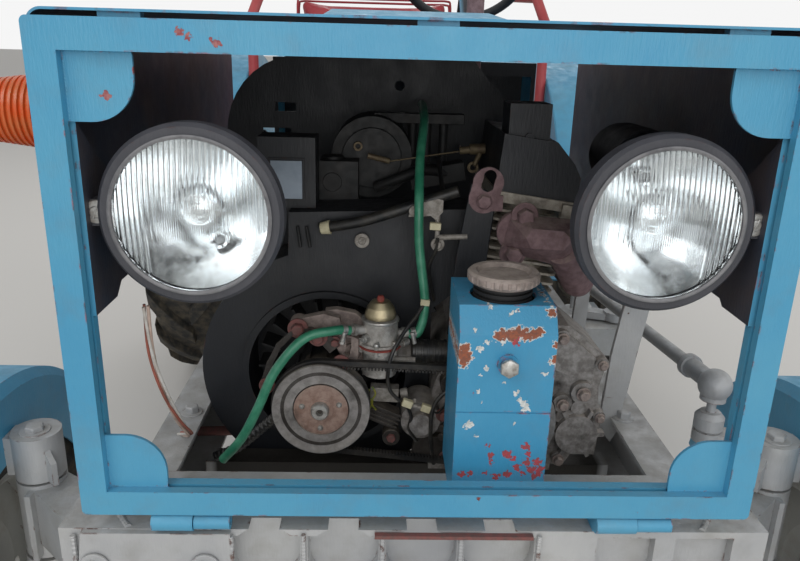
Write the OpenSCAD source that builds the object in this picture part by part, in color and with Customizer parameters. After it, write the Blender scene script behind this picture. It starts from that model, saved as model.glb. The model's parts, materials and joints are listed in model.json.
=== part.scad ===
// Small home-built farm tractor: ladder frame, swept front axle, open two-cylinder air-cooled
// engine and a bonnet that tilts forward on two hinges. Front of the tractor faces -Y, up is +Z,
// ground is z = 0. Most modules draw in the nose datum: the bottom centre of the bonnet frame's face.

/* [Wheels] */
// Distance between the front and rear axle lines
wheelbase = 1710; // [1650:10:1800]
// Front tyre outside diameter
front_tyre_d = 660; // [640:5:680]
// Front tyre width
front_tyre_w = 145; // [130:5:150]
// Front rim diameter at the bead
front_rim_d = 400; // [380:5:420]
// Half of the front track
front_track_half = 680; // [676:2:700]
// Rear tyre outside diameter over the lugs
rear_tyre_d = 1100; // [1060:10:1120]
// Rear tyre width
rear_tyre_w = 270; // [240:5:280]
// Rear rim diameter at the bead
rear_rim_d = 610; // [580:10:640]
// Half of the rear track
rear_track_half = 650; // [640:5:680]
// Height of the rear tyre's lugs
lug_h = 26; // [15:1:32]
// Lugs on each half of a rear tyre
lug_count = 18; // [16:1:24]

/* [Bonnet] */
// Height of the bonnet frame's bottom above the ground
nose_z = 660; // [655:5:680]
// Outside width of the bonnet's front frame
frame_w = 770; // [740:5:780]
// Outside height of the bonnet's front frame
frame_h = 535; // [520:5:560]
// Face width of the frame's bars
bar_w = 30; // [26:1:36]
// Depth of the frame's front bar
bar_t = 11; // [8:1:14]
// Depth of the slot that once held the grille mesh
mesh_slot = 6; // [4:1:8]
// Depth of the strip behind the slot
strip_t = 12; // [8:1:16]
// Radius of the corner gusset plates
gusset_r = 80; // [60:5:90]
// Length of the bonnet from its front frame to its rear edge
bonnet_len = 950; // [900:10:980]
// Bonnet sheet thickness
skin_t = 2.5; // [2:0.5:4]
// Gap between the frame's top and the sheet above it
skin_gap = 5.5; // [3:0.5:8]
// Height of the side sheets' lower edge above the frame's bottom
side_low_z = 222; // [180:5:260]
// Width of the raised panel on the bonnet's top
scoop_w = 300; // [240:10:340]
// Height of the raised panel above the sheet
scoop_h = 40; // [25:5:55]

/* [Lamps] */
// Headlamp rim diameter
lamp_d = 190; // [170:5:200]
// Distance of each headlamp's centre inside the frame's outer edge
lamp_inset = 139; // [134:1:145]
// Height of the headlamps above the frame's bottom
lamp_z = 345; // [330:5:360]
// Depth of the headlamp shell behind its rim
lamp_depth = 85; // [70:5:100]
// Large end of the side indicators
indicator_d = 90; // [70:5:100]
// Length of the side indicators
indicator_len = 95; // [70:5:105]

/* [Chassis] */
// Distance from the bonnet frame's face back to the front axle line
axle_set = 240; // [235:5:260]
// Half distance between the outer faces of the rails
rail_out_x = 372; // [360:2:380]
// Width of the rails' flanges
rail_flange = 55; // [45:1:65]
// Height of the rails
rail_h = 120; // [100:5:140]
// Rail steel thickness
rail_t = 6; // [5:1:8]
// Depth of the rails' top below the bonnet frame's bottom
rail_drop = 30; // [26:1:34]
// Half distance between the kingpins
kingpin_x = 550; // [546:1:556]
// Kingpin housing and sleeve diameter
king_d = 70; // [60:1:74]
// Kingpin diameter
pin_d = 30; // [24:1:34]
// Running clearance round pins and shafts, on the radius
run_gap = 0.08; // [0.05:0.01:0.1]
// Steering lock to either side, degrees
steer_lock = 32; // [20:1:32]
// Drawbar pin hole diameter
drawbar_hole_d = 26; // [20:1:32]

/* [Engine] */
// Sideways place of the crankshaft
crank_x = 125; // [118:1:135]
// Height of the crankshaft above the frame's bottom
crank_z = 12; // [5:1:20]
// Lean of the cylinders towards the tractor's left, degrees
lean = 8; // [4:1:10]
// Place of the engine's front face behind the nose
engine_y = 270; // [262:1:276]
// Crankshaft pulley diameter
crank_pulley_d = 156; // [130:2:164]
// Fan and alternator pulley diameter
fan_pulley_d = 138; // [120:2:144]
// Sideways place of the fan shaft
fan_x = -130; // [-136:1:-124]
// Height of the fan shaft
fan_z = 30; // [24:1:36]
// Front face of the belt drive behind the nose
belt_y = 200; // [196:1:206]
// Fan cowl radius
cowl_r = 195; // [180:5:200]
// Fan inlet radius
inlet_r = 122; // [105:1:126]
// Width of the blue box ahead of the engine
tower_w = 114; // [100:2:120]
// Depth of the blue box
tower_l = 125; // [110:1:126]
// Height of the blue box above the frame's bottom
tower_top = 233; // [220:1:240]
// Height of the slope along the box's top front edge
tower_slope = 30; // [20:1:40]
// Dusty round cap's diameter
cap_d = 88; // [70:2:96]

/* [Driver's place] */
// Sideways place of the seat, towards the tractor's left
seat_x = -84; // [-90:2:0]
// Width of the seat cushion
seat_w = 490; // [440:10:500]
// Width of the seat's back
back_w = 562; // [500:2:580]
// Height of the seat's back along its slope
back_h = 390; // [340:10:420]
// Width of the dashboard
dash_w = 600; // [560:2:604]
// Height of the dashboard above the rails
dash_h = 520; // [480:10:540]

/* [Hidden] */
$fn = 48;

blue = "#4c98bc";
grey_paint = "#a9adae";
black = "#22211f";
dark_steel = "#4a433d";
rusty = "#6b4a3a";
dull_alu = "#8d8a84";
red = "#a8323a";
rubber_black = "#1e1e1e";

// Places worked out from the sizes, in the nose datum
front_edge = axle_set - front_tyre_d / 2;
rear_y = axle_set + wheelbase;
rear_edge = rear_y + rear_tyre_d / 2;
nose_y = -(front_edge + rear_edge) / 2;
front_spindle_z = front_tyre_d / 2 - nose_z;
rear_spindle_z = rear_tyre_d / 2 - nose_z;
rail_z1 = -rail_drop;
rail_z0 = rail_z1 - rail_h;
rail_in_x = rail_out_x - rail_flange;
beam_top = rail_z1 + 4;
beam_y0 = 10;
beam_y1 = 130;
arm_z1 = -110;
hinge_y = 6;
hinge_z = -12;
hinge_r = 9;
hinge_pin_d = 8;
hinge_starts = [-308, 207];
hinge_len = 47;
sleeve_z0 = -100;
housing_z1 = sleeve_z0 - 4;
housing_z0 = -228;
arm_v = [-90, 30];
drag_v = [-55, 600, -20];
drag_ball_z = 42;
tie_arm = 110;
tie_z = -262;
spindle_d = 40;
strip_y1 = bar_t + mesh_slot + strip_t;
skin_z1 = frame_h + skin_gap + skin_t;
tower_y0 = 60;
tower_x = 99;
wheel_c = [174, 1470, 740];
wheel_tilt = 50;
bulk_y = 640;
lamp_x = frame_w / 2 - lamp_inset;
belt_w = 8.6;
exhaust_out = [92, 195];
filter_d = 100;
filter_x = 322;
filter_z = 366;
exhaust_port = [-22, 263];
head_z1 = 311;
cover_front = 24;
rear_fender_r = rear_tyre_d / 2 + 40;
fender_in_x = rear_track_half - 170;
foot_out_x = 585;
front_fender_r = front_tyre_d / 2 + 32;
seat_lean = 12;

module at_nose() translate([0, nose_y, nose_z]) children();

// Flat shapes drawn as front views (x, z), side views (y, z) and plans (x, y)
module front_slab(y0, t) translate([0, y0 + t, 0]) rotate([90, 0, 0]) linear_extrude(t) children();
module side_slab(x0, t) translate([x0, 0, 0]) rotate([90, 0, 90]) linear_extrude(t) children();
module plan_slab(z0, t) translate([0, 0, z0]) linear_extrude(t) children();
module along_x() rotate([0, 90, 0]) children();
module along_y() rotate([-90, 0, 0]) children();

// Straight round bar between two points
module rod(a, b, d) {
  v = b - a;
  length = norm(v);
  translate(a) rotate([0, acos(v[2] / length), atan2(v[1], v[0])]) cylinder(h = length, d = d);
}

// Round pipe through a few points, with slightly proud ball corners
module pipe_run(points, d) {
  for (i = [0 : len(points) - 2]) rod(points[i], points[i + 1], d);
  for (i = [1 : len(points) - 2]) translate(points[i]) sphere(d = d * 1.03);
}

module rounded_rect(w, h, r) {
  square([w - 2 * r, h], center = true);
  square([w, h - 2 * r], center = true);
  for (sx = [-1, 1], sy = [-1, 1]) translate([sx * (w / 2 - r), sy * (h / 2 - r)]) circle(r);
}

// Soft hose swept along a smooth curve through the given points
function curve_point(p, i, t) =
  let (a = p[max(i - 1, 0)], b = p[i], c = p[i + 1], d = p[min(i + 2, len(p) - 1)])
  0.5 * (2 * b + (c - a) * t + (2 * a - 5 * b + 4 * c - d) * t * t + (3 * b - a - 3 * c + d) * t * t * t);
function smooth_route(p, steps) =
  concat([for (i = [0 : len(p) - 2], k = [0 : steps - 1]) curve_point(p, i, k / steps)], [p[len(p) - 1]]);
function unit(v) = v / norm(v);
module hose(points, d, sides = 8, steps = 3, up = [1, 0.2, 0.1]) {
  path = smooth_route(points, steps);
  last = len(path) - 1;
  rings = [for (i = [0 : last])
    let (dir = unit(path[min(i + 1, last)] - path[max(i - 1, 0)]),
      u = unit(cross(dir, up)), v = cross(dir, u))
    for (k = [0 : sides - 1]) path[i] + d / 2 * (cos(k * 360 / sides) * u + sin(k * 360 / sides) * v)];
  walls = [for (i = [0 : last - 1], k = [0 : sides - 1])
    let (a = i * sides + k, b = i * sides + (k + 1) % sides)
    for (f = [[a, b, b + sides], [a, b + sides, a + sides]]) f];
  polyhedron(rings, concat(walls, [[for (k = [sides - 1 : -1 : 0]) k]],
    [[for (k = [0 : sides - 1]) last * sides + k]]));
}

// Chassis
module rail_profile() difference() {
  square([rail_flange, rail_h]);
  translate([-1, rail_t]) square([rail_flange + 1 - rail_t, rail_h - 2 * rail_t]);
}

module frame_rails() color(grey_paint) at_nose() {
  rail_end = rear_y - 70;
  sump_z = crank_z - 120;
  bar_top = filter_z - filter_d / 2 - 0.3;
  // The leaning bar's left edge at its top, where it meets the round filter
  bar_x = 306 + 0.128 * (bar_top - 76);
  bar_seat = filter_z - 0.3 - sqrt(pow(filter_d / 2, 2) - pow(bar_x - filter_x, 2));
  for (side = [0, 1]) mirror([side, 0, 0]) difference() {
    translate([rail_in_x, rail_end, rail_z0]) rotate([90, 0, 0]) linear_extrude(rail_end - beam_y1)
      rail_profile();
    // Notch over the swept arms of the axle, and bolt holes along the top flange
    translate([rail_in_x - 1, beam_y1 - 1, rail_z0 - 1])
      cube([rail_flange + 2, 32, arm_z1 + 0.3 - rail_z0 + 1]);
    for (y = [300 : 340 : 1600]) translate([rail_in_x + 20, y, rail_z1 - 20]) cylinder(h = 40, d = 14);
  }
  // Plate that carries the engine's left side, and the two flat bars that rise beside it
  translate([crank_x + 95.3, 330, rail_z1 - 8]) cube([rail_in_x + 1 - crank_x - 95.3, 60, 8]);
  translate([258.5, 376, rail_z1 - 1]) rotate([0, 2, 0]) cube([22, 8, bar_top - rail_z1]);
  front_slab(300, 8) polygon([[303, 12], [302, -51], [321, -75], [333, -52], [336, 12]]);
  front_slab(298, 8)
    polygon([[303, 4], [337, 4], [345, 76], [bar_x + 39, bar_top], [bar_x, bar_seat], [306, 76]]);
  // Cross members: two under the engine, one under the gearbox
  for (y = [284, 460]) translate([-rail_in_x - 1, y, rail_z0])
    cube([2 * rail_in_x + 2, 40, sump_z - 0.3 - rail_z0]);
  translate([-rail_in_x - 1, 1300, rail_z0]) cube([2 * rail_in_x + 2, 60, 30]);
}

// Pocket in the beam's front face: straight sides over a round foot
module beam_pocket(w, z0, z1, y1) front_slab(beam_y0 - 1, y1 - beam_y0 + 1) {
  translate([0, z0 + w / 2]) circle(d = w);
  translate([-w / 2, z0 + w / 2]) square([w, z1 - z0 - w / 2]);
}

module axle_beam() color(grey_paint) at_nose() {
  box_x = 420;
  rib_pitch = 93;
  rib_t = 9;
  difference() {
    translate([-box_x, beam_y0, arm_z1]) cube([2 * box_x, beam_y1 - beam_y0, beam_top - arm_z1]);
    for (k = [-2 : 1]) translate([4 + k * rib_pitch, 0, 0])
      beam_pocket(rib_pitch - rib_t, arm_z1 + 4, beam_top - 9, beam_y0 + 22);
    for (x = [249, 344]) translate([x, 0, 0]) beam_pocket(70, arm_z1 + 4, beam_top - 9, beam_y0 + 14);
    // Bolt holes through the beam's ends
    for (x = [-372, -252], y = [48, 96]) translate([x, y, arm_z1 - 1]) cylinder(h = 120, d = 16);
  }
  // Plate over the beam's right-hand end, bolted at its foot
  front_slab(beam_y0 - 8, 9) difference() {
    polygon([[-402, arm_z1 + 6], [-392, beam_top - 1], [-220, beam_top - 1], [-220, arm_z1 + 6]]);
    for (x = [-378, -250]) translate([x, -70]) circle(d = 13);
  }
  difference() {
    union() {
      plan_slab(housing_z0 + 28, arm_z1 - housing_z0 - 28) polygon([
        [-340, beam_y0], [340, beam_y0], [kingpin_x + 10, axle_set - 25], [kingpin_x - 20, axle_set + 22],
        [330, beam_y1], [-330, beam_y1], [-kingpin_x + 20, axle_set + 22],
        [-kingpin_x - 10, axle_set - 25]]);
      for (side = [-1, 1]) translate([side * kingpin_x, axle_set, housing_z0]) {
        cylinder(h = housing_z1 - housing_z0, d = king_d);
        // Web down the front of the housing
        translate([-4, -king_d / 2 - 16, 8]) cube([8, 30, housing_z1 - housing_z0 - 14]);
      }
    }
    for (side = [-1, 1]) translate([side * kingpin_x, axle_set, housing_z0 - 1])
      cylinder(h = housing_z1 - housing_z0 + 2, d = pin_d + 2 * run_gap);
  }
}

// Fixed half of each bonnet hinge, with its pin
module hinge_seats() color(blue) at_nose() for (x = hinge_starts) {
  translate([x, hinge_y, hinge_z]) along_x() cylinder(h = hinge_len, r = hinge_r + 2);
  translate([x + 1, hinge_y, hinge_z]) along_x() cylinder(h = 2 * hinge_len - 8, d = hinge_pin_d);
  side_slab(x, hinge_len) polygon([[beam_y0 + 1, beam_top], [beam_y0 + 26, beam_top],
    [beam_y0 + 22, beam_top + 7], [hinge_y + 4, hinge_z + 7], [hinge_y, hinge_z - 2]]);
}

// Engine bay
module tower_side(inset) polygon([
  [tower_y0 + inset, beam_top + inset], [tower_y0 + inset, tower_top - tower_slope - 0.4 * inset],
  [tower_y0 + 0.67 * tower_slope + 0.4 * inset, tower_top - inset],
  [tower_y0 + tower_l - inset, tower_top - inset], [tower_y0 + tower_l - inset, beam_top + inset]]);

module front_tower() color(blue) at_nose() {
  wall = 5;
  seam_z = 103;
  bolt_z = 167;
  x0 = tower_x - tower_w / 2;
  difference() {
    side_slab(x0, tower_w) tower_side(0);
    side_slab(x0 + wall, tower_w - 2 * wall) tower_side(wall);
    translate([tower_x, tower_y0 + tower_l / 2, tower_top - 20]) cylinder(h = 30, d = cap_d - 8);
    // Lap where the lower sheet ends
    translate([x0 - 1, tower_y0 - 1, seam_z]) cube([tower_w + 2, 2.2, 2]);
    translate([tower_x + 1, tower_y0 - 1, bolt_z]) along_y() cylinder(h = wall + 2, d = 10);
  }
  translate([tower_x + 1, tower_y0 - 7, bolt_z]) along_y() cylinder(h = wall + 7, d = 19, $fn = 6);
  translate([tower_x + 1, tower_y0 - 2.5, bolt_z]) along_y() cylinder(h = 4, d = 25);
}

module tower_cap() color(dark_steel) at_nose() translate([tower_x, tower_y0 + tower_l / 2, tower_top]) {
  rim_z = 16;
  translate([0, 0, -12]) cylinder(h = 7, d = cap_d - 8 - 0.6);
  for (z = [-3, 4, 11]) translate([0, 0, z]) cylinder(h = 4, d = cap_d - 16);
  translate([0, 0, -6]) cylinder(h = rim_z + 8, d = cap_d - 24);
  // Dished disc with a knurled rim
  difference() {
    translate([0, 0, rim_z]) rotate_extrude()
      polygon([[0, 0], [cap_d / 2 - 3, 0], [cap_d / 2, 3], [cap_d / 2, 11], [cap_d / 2 - 3, 14],
        [cap_d / 2 - 10, 14], [cap_d / 2 - 14, 9], [0, 8]]);
    for (k = [0 : 27]) rotate([0, 0, k * 360 / 28]) translate([cap_d / 2 + 1, 0, rim_z - 1])
      cylinder(h = 11, d = 5);
  }
}

// Everything on the leaning cylinder line, drawn from the crankshaft upwards
module on_crank() translate([crank_x, 0, crank_z]) rotate([0, lean, 0]) children();
function crank_frame(p) =
  [crank_x + p[0] * cos(lean) + p[1] * sin(lean), crank_z - p[0] * sin(lean) + p[1] * cos(lean)];
bore_y = [engine_y + 75, engine_y + 175];

module crankcase() color(dull_alu) at_nose() {
  translate([crank_x, engine_y, crank_z]) {
    translate([-95, 0, -120]) cube([190, 250, 120]);
    along_y() cylinder(h = 250, r = 95);
    translate([0, -22, 0]) along_y() cylinder(h = 24, r = 84);
  }
  on_crank() translate([-72, engine_y + 10, 60]) cube([144, 230, 88]);
  // Cast gear housing on the tractor's left of the box: a lobed cover with bosses, drawn from the crankshaft
  translate([crank_x, 0, crank_z]) {
    front_slab(engine_y - 36, 95) polygon([[60, -74], [82, -86], [104, -88], [114, -70], [150, -70],
      [156, 2], [147, 16], [145, 42], [152, 74], [147, 92], [116, 118], [93, 136], [74, 137], [40, 140],
      [40, -74]]);
    front_slab(engine_y - 42, 8)
      polygon([[70, 132], [92, 126], [112, 108], [136, 88], [134, 54], [100, 60], [70, 74]]);
    // Bosses: across, up, diameter, height
    for (b = [[120, 36, 34, 8], [92, 18, 28, 6], [143, 82, 20, 9], [98, -4, 26, 4], [116, 12, 22, 7],
        [148, -2, 18, 8], [90, -30, 24, 6], [82, 122, 22, 9], [126, -40, 40, 3], [93, -72, 20, 7]])
      translate([b[0], engine_y - 38 - b[3], b[1]]) along_y() cylinder(h = 20 + b[3], d = b[2]);
    // Round cover lower down, with its ribs
    translate([116, engine_y - 50, -30]) along_y() cylinder(h = 16, d = 62);
    for (a = [0 : 60 : 120]) translate([116, engine_y - 48, -30]) rotate([0, a, 0])
      translate([-42, 0, -3]) cube([84, 14, 6]);
  }
  // Pad and ribbed barrel on the other side that carry the fuel pump
  translate([-74, engine_y + 1, 50]) cube([44, 47, 47]);
  translate([-31, engine_y + 20, 75]) along_x() cylinder(h = 100, d = 40);
  for (x = [-22 : 13 : 45]) translate([x, engine_y + 20, 75]) along_x() cylinder(h = 6, d = 48);
  // Ribs down the front of the box
  for (x = [-40 : 26 : 40]) translate([crank_x + x - 3, engine_y - 8, crank_z - 116]) cube([6, 10, 40]);
  // Round housing and square block between the belt's runs
  translate([crank_x - 112, engine_y - 30, crank_z - 20]) along_y() cylinder(h = 60, d = 58);
  translate([crank_x - 112, engine_y - 44, crank_z - 20]) along_y() cylinder(h = 20, d = 34);
  translate([crank_x - 118, engine_y + 20, crank_z - 62]) cube([40, 39, 50]);
}

module cylinders() color("#b5b3ad") at_nose() on_crank() {
  fin = [116, 98];
  fin_pitch = 14;
  fin_t = 3.5;
  for (y = bore_y) {
    translate([0, y, 148]) cylinder(h = 150, d = 84);
    for (z = [156 : fin_pitch : 290]) translate([0, y, z]) linear_extrude(fin_t)
      rounded_rect(fin[0], fin[1], 14);
    // Push-rod tubes beside the barrels
    for (dy = [-16, 16]) translate([-50, y + dy, 148]) cylinder(h = 148, d = 13);
  }
  translate([-60, engine_y + 20, 296]) cube([120, 210, head_z1 - 296]);
  translate([38, engine_y + 12, 278]) cube([18, 12, 30]);
}

module rocker_cover() color(black) at_nose() {
  on_crank() front_slab(engine_y + cover_front, 202) polygon([[-57, head_z1 + 0.3], [58, head_z1 + 0.3],
    [57, 346], [44, 364], [14, 390], [-62, 390], [-60, 346]]);
  // Air box on top
  translate([124, engine_y + cover_front + 6, 385]) cube([58, 60, 62]);
  translate([153, engine_y + cover_front + 2, 402]) along_y() cylinder(h = 10, d = 12);
}

module exhaust_elbow() color(rusty) at_nose() {
  port = crank_frame(exhaust_port);
  out = crank_frame(exhaust_out);
  face_y = engine_y - 8;
  // Oval flange with its two bolt ears, and the port behind it
  translate([port[0], face_y, port[1]]) rotate([0, 14, 0]) {
    along_y() cylinder(h = 10, d = 58);
    for (dz = [-24, 24]) translate([0, 0, dz]) along_y() cylinder(h = 10, d = 30);
    translate([-17, 0, -24]) cube([34, 10, 48]);
    along_y() cylinder(h = engine_y + 25.7 - face_y, d = 46);
  }
  // Wedge-shaped cast body turning to the left
  translate([port[0], 0, port[1]]) hull() {
    front_slab(face_y - 3, 4)
      polygon([[-20, -18], [-12, 18], [10, 24], [72, 20], [84, 4], [82, -38], [64, -48], [10, -34]]);
    front_slab(face_y - 40, 1) polygon([[4, 2], [12, 15], [54, 12], [66, 0], [56, -14], [12, -12]]);
  }
  pipe_run([[port[0] + 62, face_y - 12, port[1] - 20], [out[0], engine_y + 36, out[1]],
    [out[0], engine_y + 100, out[1]]], 46);
}

module exhaust_stack() color(grey_paint) at_nose() {
  x = crank_frame(exhaust_out)[0];
  z = crank_frame(exhaust_out)[1];
  y = bonnet_len + 26;
  pipe_run([[x, engine_y + 100.3, z], [x, y, z], [150, y, z + 60], [150, y, 950]], 38);
}

module cowl_outline() {
  difference() {
    union() {
      circle(cowl_r);
      polygon([[-60, 120], [-56, 252], [212, 262], [196, 135], [150, 96], [60, 0]]);
    }
    translate([crank_x - 95.3 - fan_x, -300]) square([200, 400]);
  }
}

module fan_cowl() color(black) at_nose() translate([fan_x, 0, fan_z]) {
  y0 = engine_y + 60;
  difference() {
    front_slab(y0, 90) cowl_outline();
    translate([0, y0 - 1, 0]) along_y() cylinder(h = 80, r = inlet_r);
    translate([0, y0, 0]) along_y() cylinder(h = 100, d = 60);
  }
  front_slab(y0 - 8, 8) difference() {
    circle(inlet_r + 10);
    circle(inlet_r);
  }
}

// Grooved belt pulley on the Y axis
module pulley(d, w, hub_d) along_y() difference() {
  rotate_extrude() polygon([[0, 0], [d / 2, 0], [d / 2, 3], [d / 2 - 11, w / 2], [d / 2, w - 3], [d / 2, w],
    [0, w]]);
  translate([0, 0, -1]) difference() {
    cylinder(h = 9, d = d - 34);
    cylinder(h = 9, d = hub_d);
  }
}

module alternator() color(dark_steel) at_nose() translate([fan_x, belt_y, fan_z]) {
  blades = 18;
  fan_y = engine_y + 66 - belt_y;
  pulley(fan_pulley_d, 24, 76);
  translate([0, -6, 0]) along_y() cylinder(h = 8, d = 24, $fn = 6);
  along_y() translate([0, 0, 20]) cylinder(h = fan_y, d = 30);
  along_y() translate([0, 0, 46]) cylinder(h = fan_y - 48, d = 96);
  for (k = [0 : 11]) rotate([0, k * 30, 0]) translate([40, 50, -4]) cube([11, fan_y - 56, 8]);
  // Fan on the same shaft, inside the cowl
  translate([0, fan_y, 0]) {
    along_y() cylinder(h = 60, r = 44);
    front_slab(56, 6) circle(inlet_r - 8);
    for (k = [0 : blades - 1]) rotate([0, k * 360 / blades, 0]) translate([80, 6, -2]) cube([30, 52, 4]);
  }
}

module crank_pulley() color(dark_steel) at_nose() translate([crank_x, belt_y, crank_z]) {
  pulley(crank_pulley_d, 24, 60);
  along_y() translate([0, 0, 24]) cylinder(h = engine_y - 22 - belt_y - 24, d = 50);
}

// Belt loop round both pulleys, grown or shrunk by g, in a plane turned along the line of centres
belt_v = [crank_x - fan_x, crank_z - fan_z];
function belt_loop(g, arcs = 16) =
  let (rf = fan_pulley_d / 2 - 1.5, rc = crank_pulley_d / 2 - 1.5, wrap = acos((rf - rc) / norm(belt_v)))
  concat(
    [for (i = [0 : arcs]) let (a = wrap + i * (360 - 2 * wrap) / arcs) (rf + g) * [cos(a), sin(a)]],
    [for (i = [0 : arcs]) let (a = -wrap + i * 2 * wrap / arcs)
      [norm(belt_v), 0] + (rc + g) * [cos(a), sin(a)]]);

module drive_belt() color(rubber_black) at_nose() front_slab(belt_y + 12 - belt_w / 2, belt_w)
  translate([fan_x, fan_z]) rotate(atan2(belt_v[1], belt_v[0])) difference() {
    polygon(belt_loop(4));
    polygon(belt_loop(-4));
  }

// Two flow nozzles: root and mouth, from the pump's axis
pump_x = -49;
pump_y = 245;
nozzle_in = [[-18, -8, 136], [-42, -22, 142]];
nozzle_out = [[18, 4, 128], [40, 8, 126]];
module fuel_pump() color("#b7a36a") at_nose() translate([pump_x, pump_y, 0]) {
  translate([0, 0, 68]) cylinder(h = 40, d = 48);
  translate([0, 0, 78]) cylinder(h = 5, d = 50.6);
  translate([0, 0, 106]) cylinder(h = 12, d = 60);
  translate([0, 0, 117]) cylinder(h = 36, d = 50);
  translate([0, 0, 151]) rotate_extrude() polygon([[0, 0], [22, 0], [22, 8], [19, 18], [13, 26], [0, 30]]);
  // Ears of the flange with their screws
  for (a = [20 : 60 : 320]) rotate([0, 0, a]) translate([27, 0, 104]) cylinder(h = 18, d = 9);
  for (n = [nozzle_in, nozzle_out]) {
    rod(n[0], n[1], 13);
    translate(n[1]) rod(-10 * unit(n[1] - n[0]), -4 * unit(n[1] - n[0]), 17);
  }
  translate([0, 0, 84]) along_y() cylinder(h = engine_y + 0.7 - pump_y, d = 24);
}

function mouth(n) = [pump_x, pump_y, 0] + n[1] + 0.5 * unit(n[1] - n[0]);
hose_1 = [mouth(nozzle_in), [-112, 211, 146], [-152, 200, 138], [-190, 190, 95], [-215, 185, 40],
  [-240, 190, -10], [-270, 200, -50]];
hose_2 = [mouth(nozzle_out), [6, 255, 129], [14, 260, 170], [4, 272, 250], [2, 282, 310], [4, 330, 365],
  [12, 400, 410], [16, 520, 425], [20, 639.7, 420]];
module fuel_hoses() color("#3f9a6a") at_nose() {
  hose(hose_1, 13);
  hose(hose_2, 13, up = [1, 0, 0.3]);
}

// Thick curved line of circles and bars through points, as a flat outline
module bar_line(points, w) for (i = [0 : len(points) - 2]) {
  v = points[i + 1] - points[i];
  translate(points[i]) rotate(atan2(v[1], v[0])) translate([0, -w / 2]) square([norm(v), w]);
  translate(points[i + 1]) circle(d = w + 1);
}

// Back face of the adjusting arm
arm_y1 = 228;

// Cast bracket that joins the fuel pump's foot, the alternator and the arm
module engine_brackets() color(dull_alu) at_nose() {
  front_slab(232, 13.7) difference() {
    polygon([[-170, 136], [-158, 154], [-128, 161], [-106, 155], [-102, 132], [pump_x - 30.3, 124],
      [pump_x - 30.3, 100], [-84, 79.6], [-98, 96], [-112, 112], [-134, 124]]);
    translate([-93, 112]) bar_line([[0, 14], [0, 0], [-2, -10]], 7);
  }
  translate([-163, arm_y1 + 0.3, 142]) along_y() cylinder(h = 21, d = 26);
  translate([-112, arm_y1 + 0.3, 122]) along_y() cylinder(h = 10, d = 18);
}

module adjusting_arm() color(dark_steel) at_nose() {
  front_slab(arm_y1 - 6, 6) difference() {
    bar_line([[-112, 112], [-124, 126], [-146, 134], [-168, 130], [-186, 112], [-199, 86], [-208, 58]], 18);
    bar_line([[-150, 133], [-168, 129], [-184, 111], [-195, 88]], 7);
  }
  // Lug on the alternator that the arm's foot is bolted to
  translate([-207, arm_y1 + 0.3, 56]) along_y() cylinder(h = 12, d = 18);
  front_slab(belt_y + 38, 7.7) bar_line([[-207, 56], [-200, 54], [-166, 43]], 15);
}

module lifting_eye() color(rusty) at_nose() {
  front_slab(engine_y + 13.7, 6) difference() {
    bar_line([[93, 310], [93, 318], [98, 340]], 42);
    bar_line([[96, 331], [97, 336], [100, 349]], 17);
  }
  translate([100, engine_y + 13.7, 300]) cube([20, 6, 22]);
}

// Round air filter carried on the two flat bars
module air_filter() color(black) at_nose() translate([filter_x, engine_y + 12, filter_z]) {
  r = filter_d / 2;
  along_y() rotate_extrude() polygon([[0, 0], [r - 12, 0], [r - 4, 5], [r - 2, 12], [r - 2, 16], [r, 18],
    [r, 122], [r - 2, 124], [r - 2, 140], [r - 10, 146], [0, 146]]);
  translate([0, -14, 0]) along_y() cylinder(h = 16, d = 22);
}

module control_box() color(black) at_nose() {
  translate([-232, 352, 284]) cube([84, 60, 104]);
  translate([-216, 349, 296]) cube([52, 3.5, 62]);
}

module engine_pipes() color(black) at_nose() {
  hose([[-140, 321.4, 262], [-80, 313, 275], [-20, 306, 296], [30, 300, 315], [58, 296, 326]], 16);
  // Conduit from the alternator down past the belt
  hose([[-174.6, 264, 4.5], [-192, 264.5, -5.5], [-222, 267, -34], [-262, 272, -72], [-300, 282, -96]], 16,
    up = [0.3, 1, 0.2]);
}

// Lead from the right-hand lamp down to the frame rail
lead_route = [[-330, 110, 215], [-330, 118, 150], [-322, 130, 90], [-312, 150, 40], [-310, 185, 0],
  [-335, 225, -23.6]];
module lamp_lead() color("#c9b3a4") at_nose() hose(lead_route, 12);

module bulkhead() color(black) at_nose() {
  corner_r = 140;
  difference() {
    front_slab(bulk_y, 4) polygon(concat([[200, rail_z1], [-334, rail_z1]],
      [for (a = [180 : -10 : 90]) [-334 + corner_r, 500 - corner_r] + corner_r * [cos(a), sin(a)]],
      [[110, 500], [162, 439], [200, 400]]));
    translate([-40, bulk_y - 1, -100]) cube([400, 10, 270]);
    // Windows: left, bottom, width, height
    for (w = [[-246, 400, 38, 16], [-269, 352, 51, 18], [150, 360, 36, 38], [-176, 228, 60, 26]])
      translate([w[0], bulk_y - 1, w[1]]) cube([w[2], 6, w[3]]);
    for (hole = [[-20, 450, 18], [90, 340, 16], [-230, 310, 14]])
      translate([hole[0], bulk_y - 1, hole[1]]) along_y() cylinder(h = 6, d = hole[2]);
  }
}

module gearbox() color(dull_alu) at_nose() translate([crank_x, 0, crank_z]) {
  translate([0, engine_y + 250, 0]) along_y() cylinder(h = 150, r1 = 150, r2 = 120);
  translate([-105, engine_y + 400, -130]) cube([210, 500, 240]);
  translate([-60, engine_y + 900, -110]) cube([120, 180, 150]);
  diff_c = [0, rear_y, rear_spindle_z - crank_z];
  shaft_a = [0, engine_y + 1070, -50];
  rod(shaft_a, diff_c - 135.4 * unit(diff_c - shaft_a), 60);
}

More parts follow.
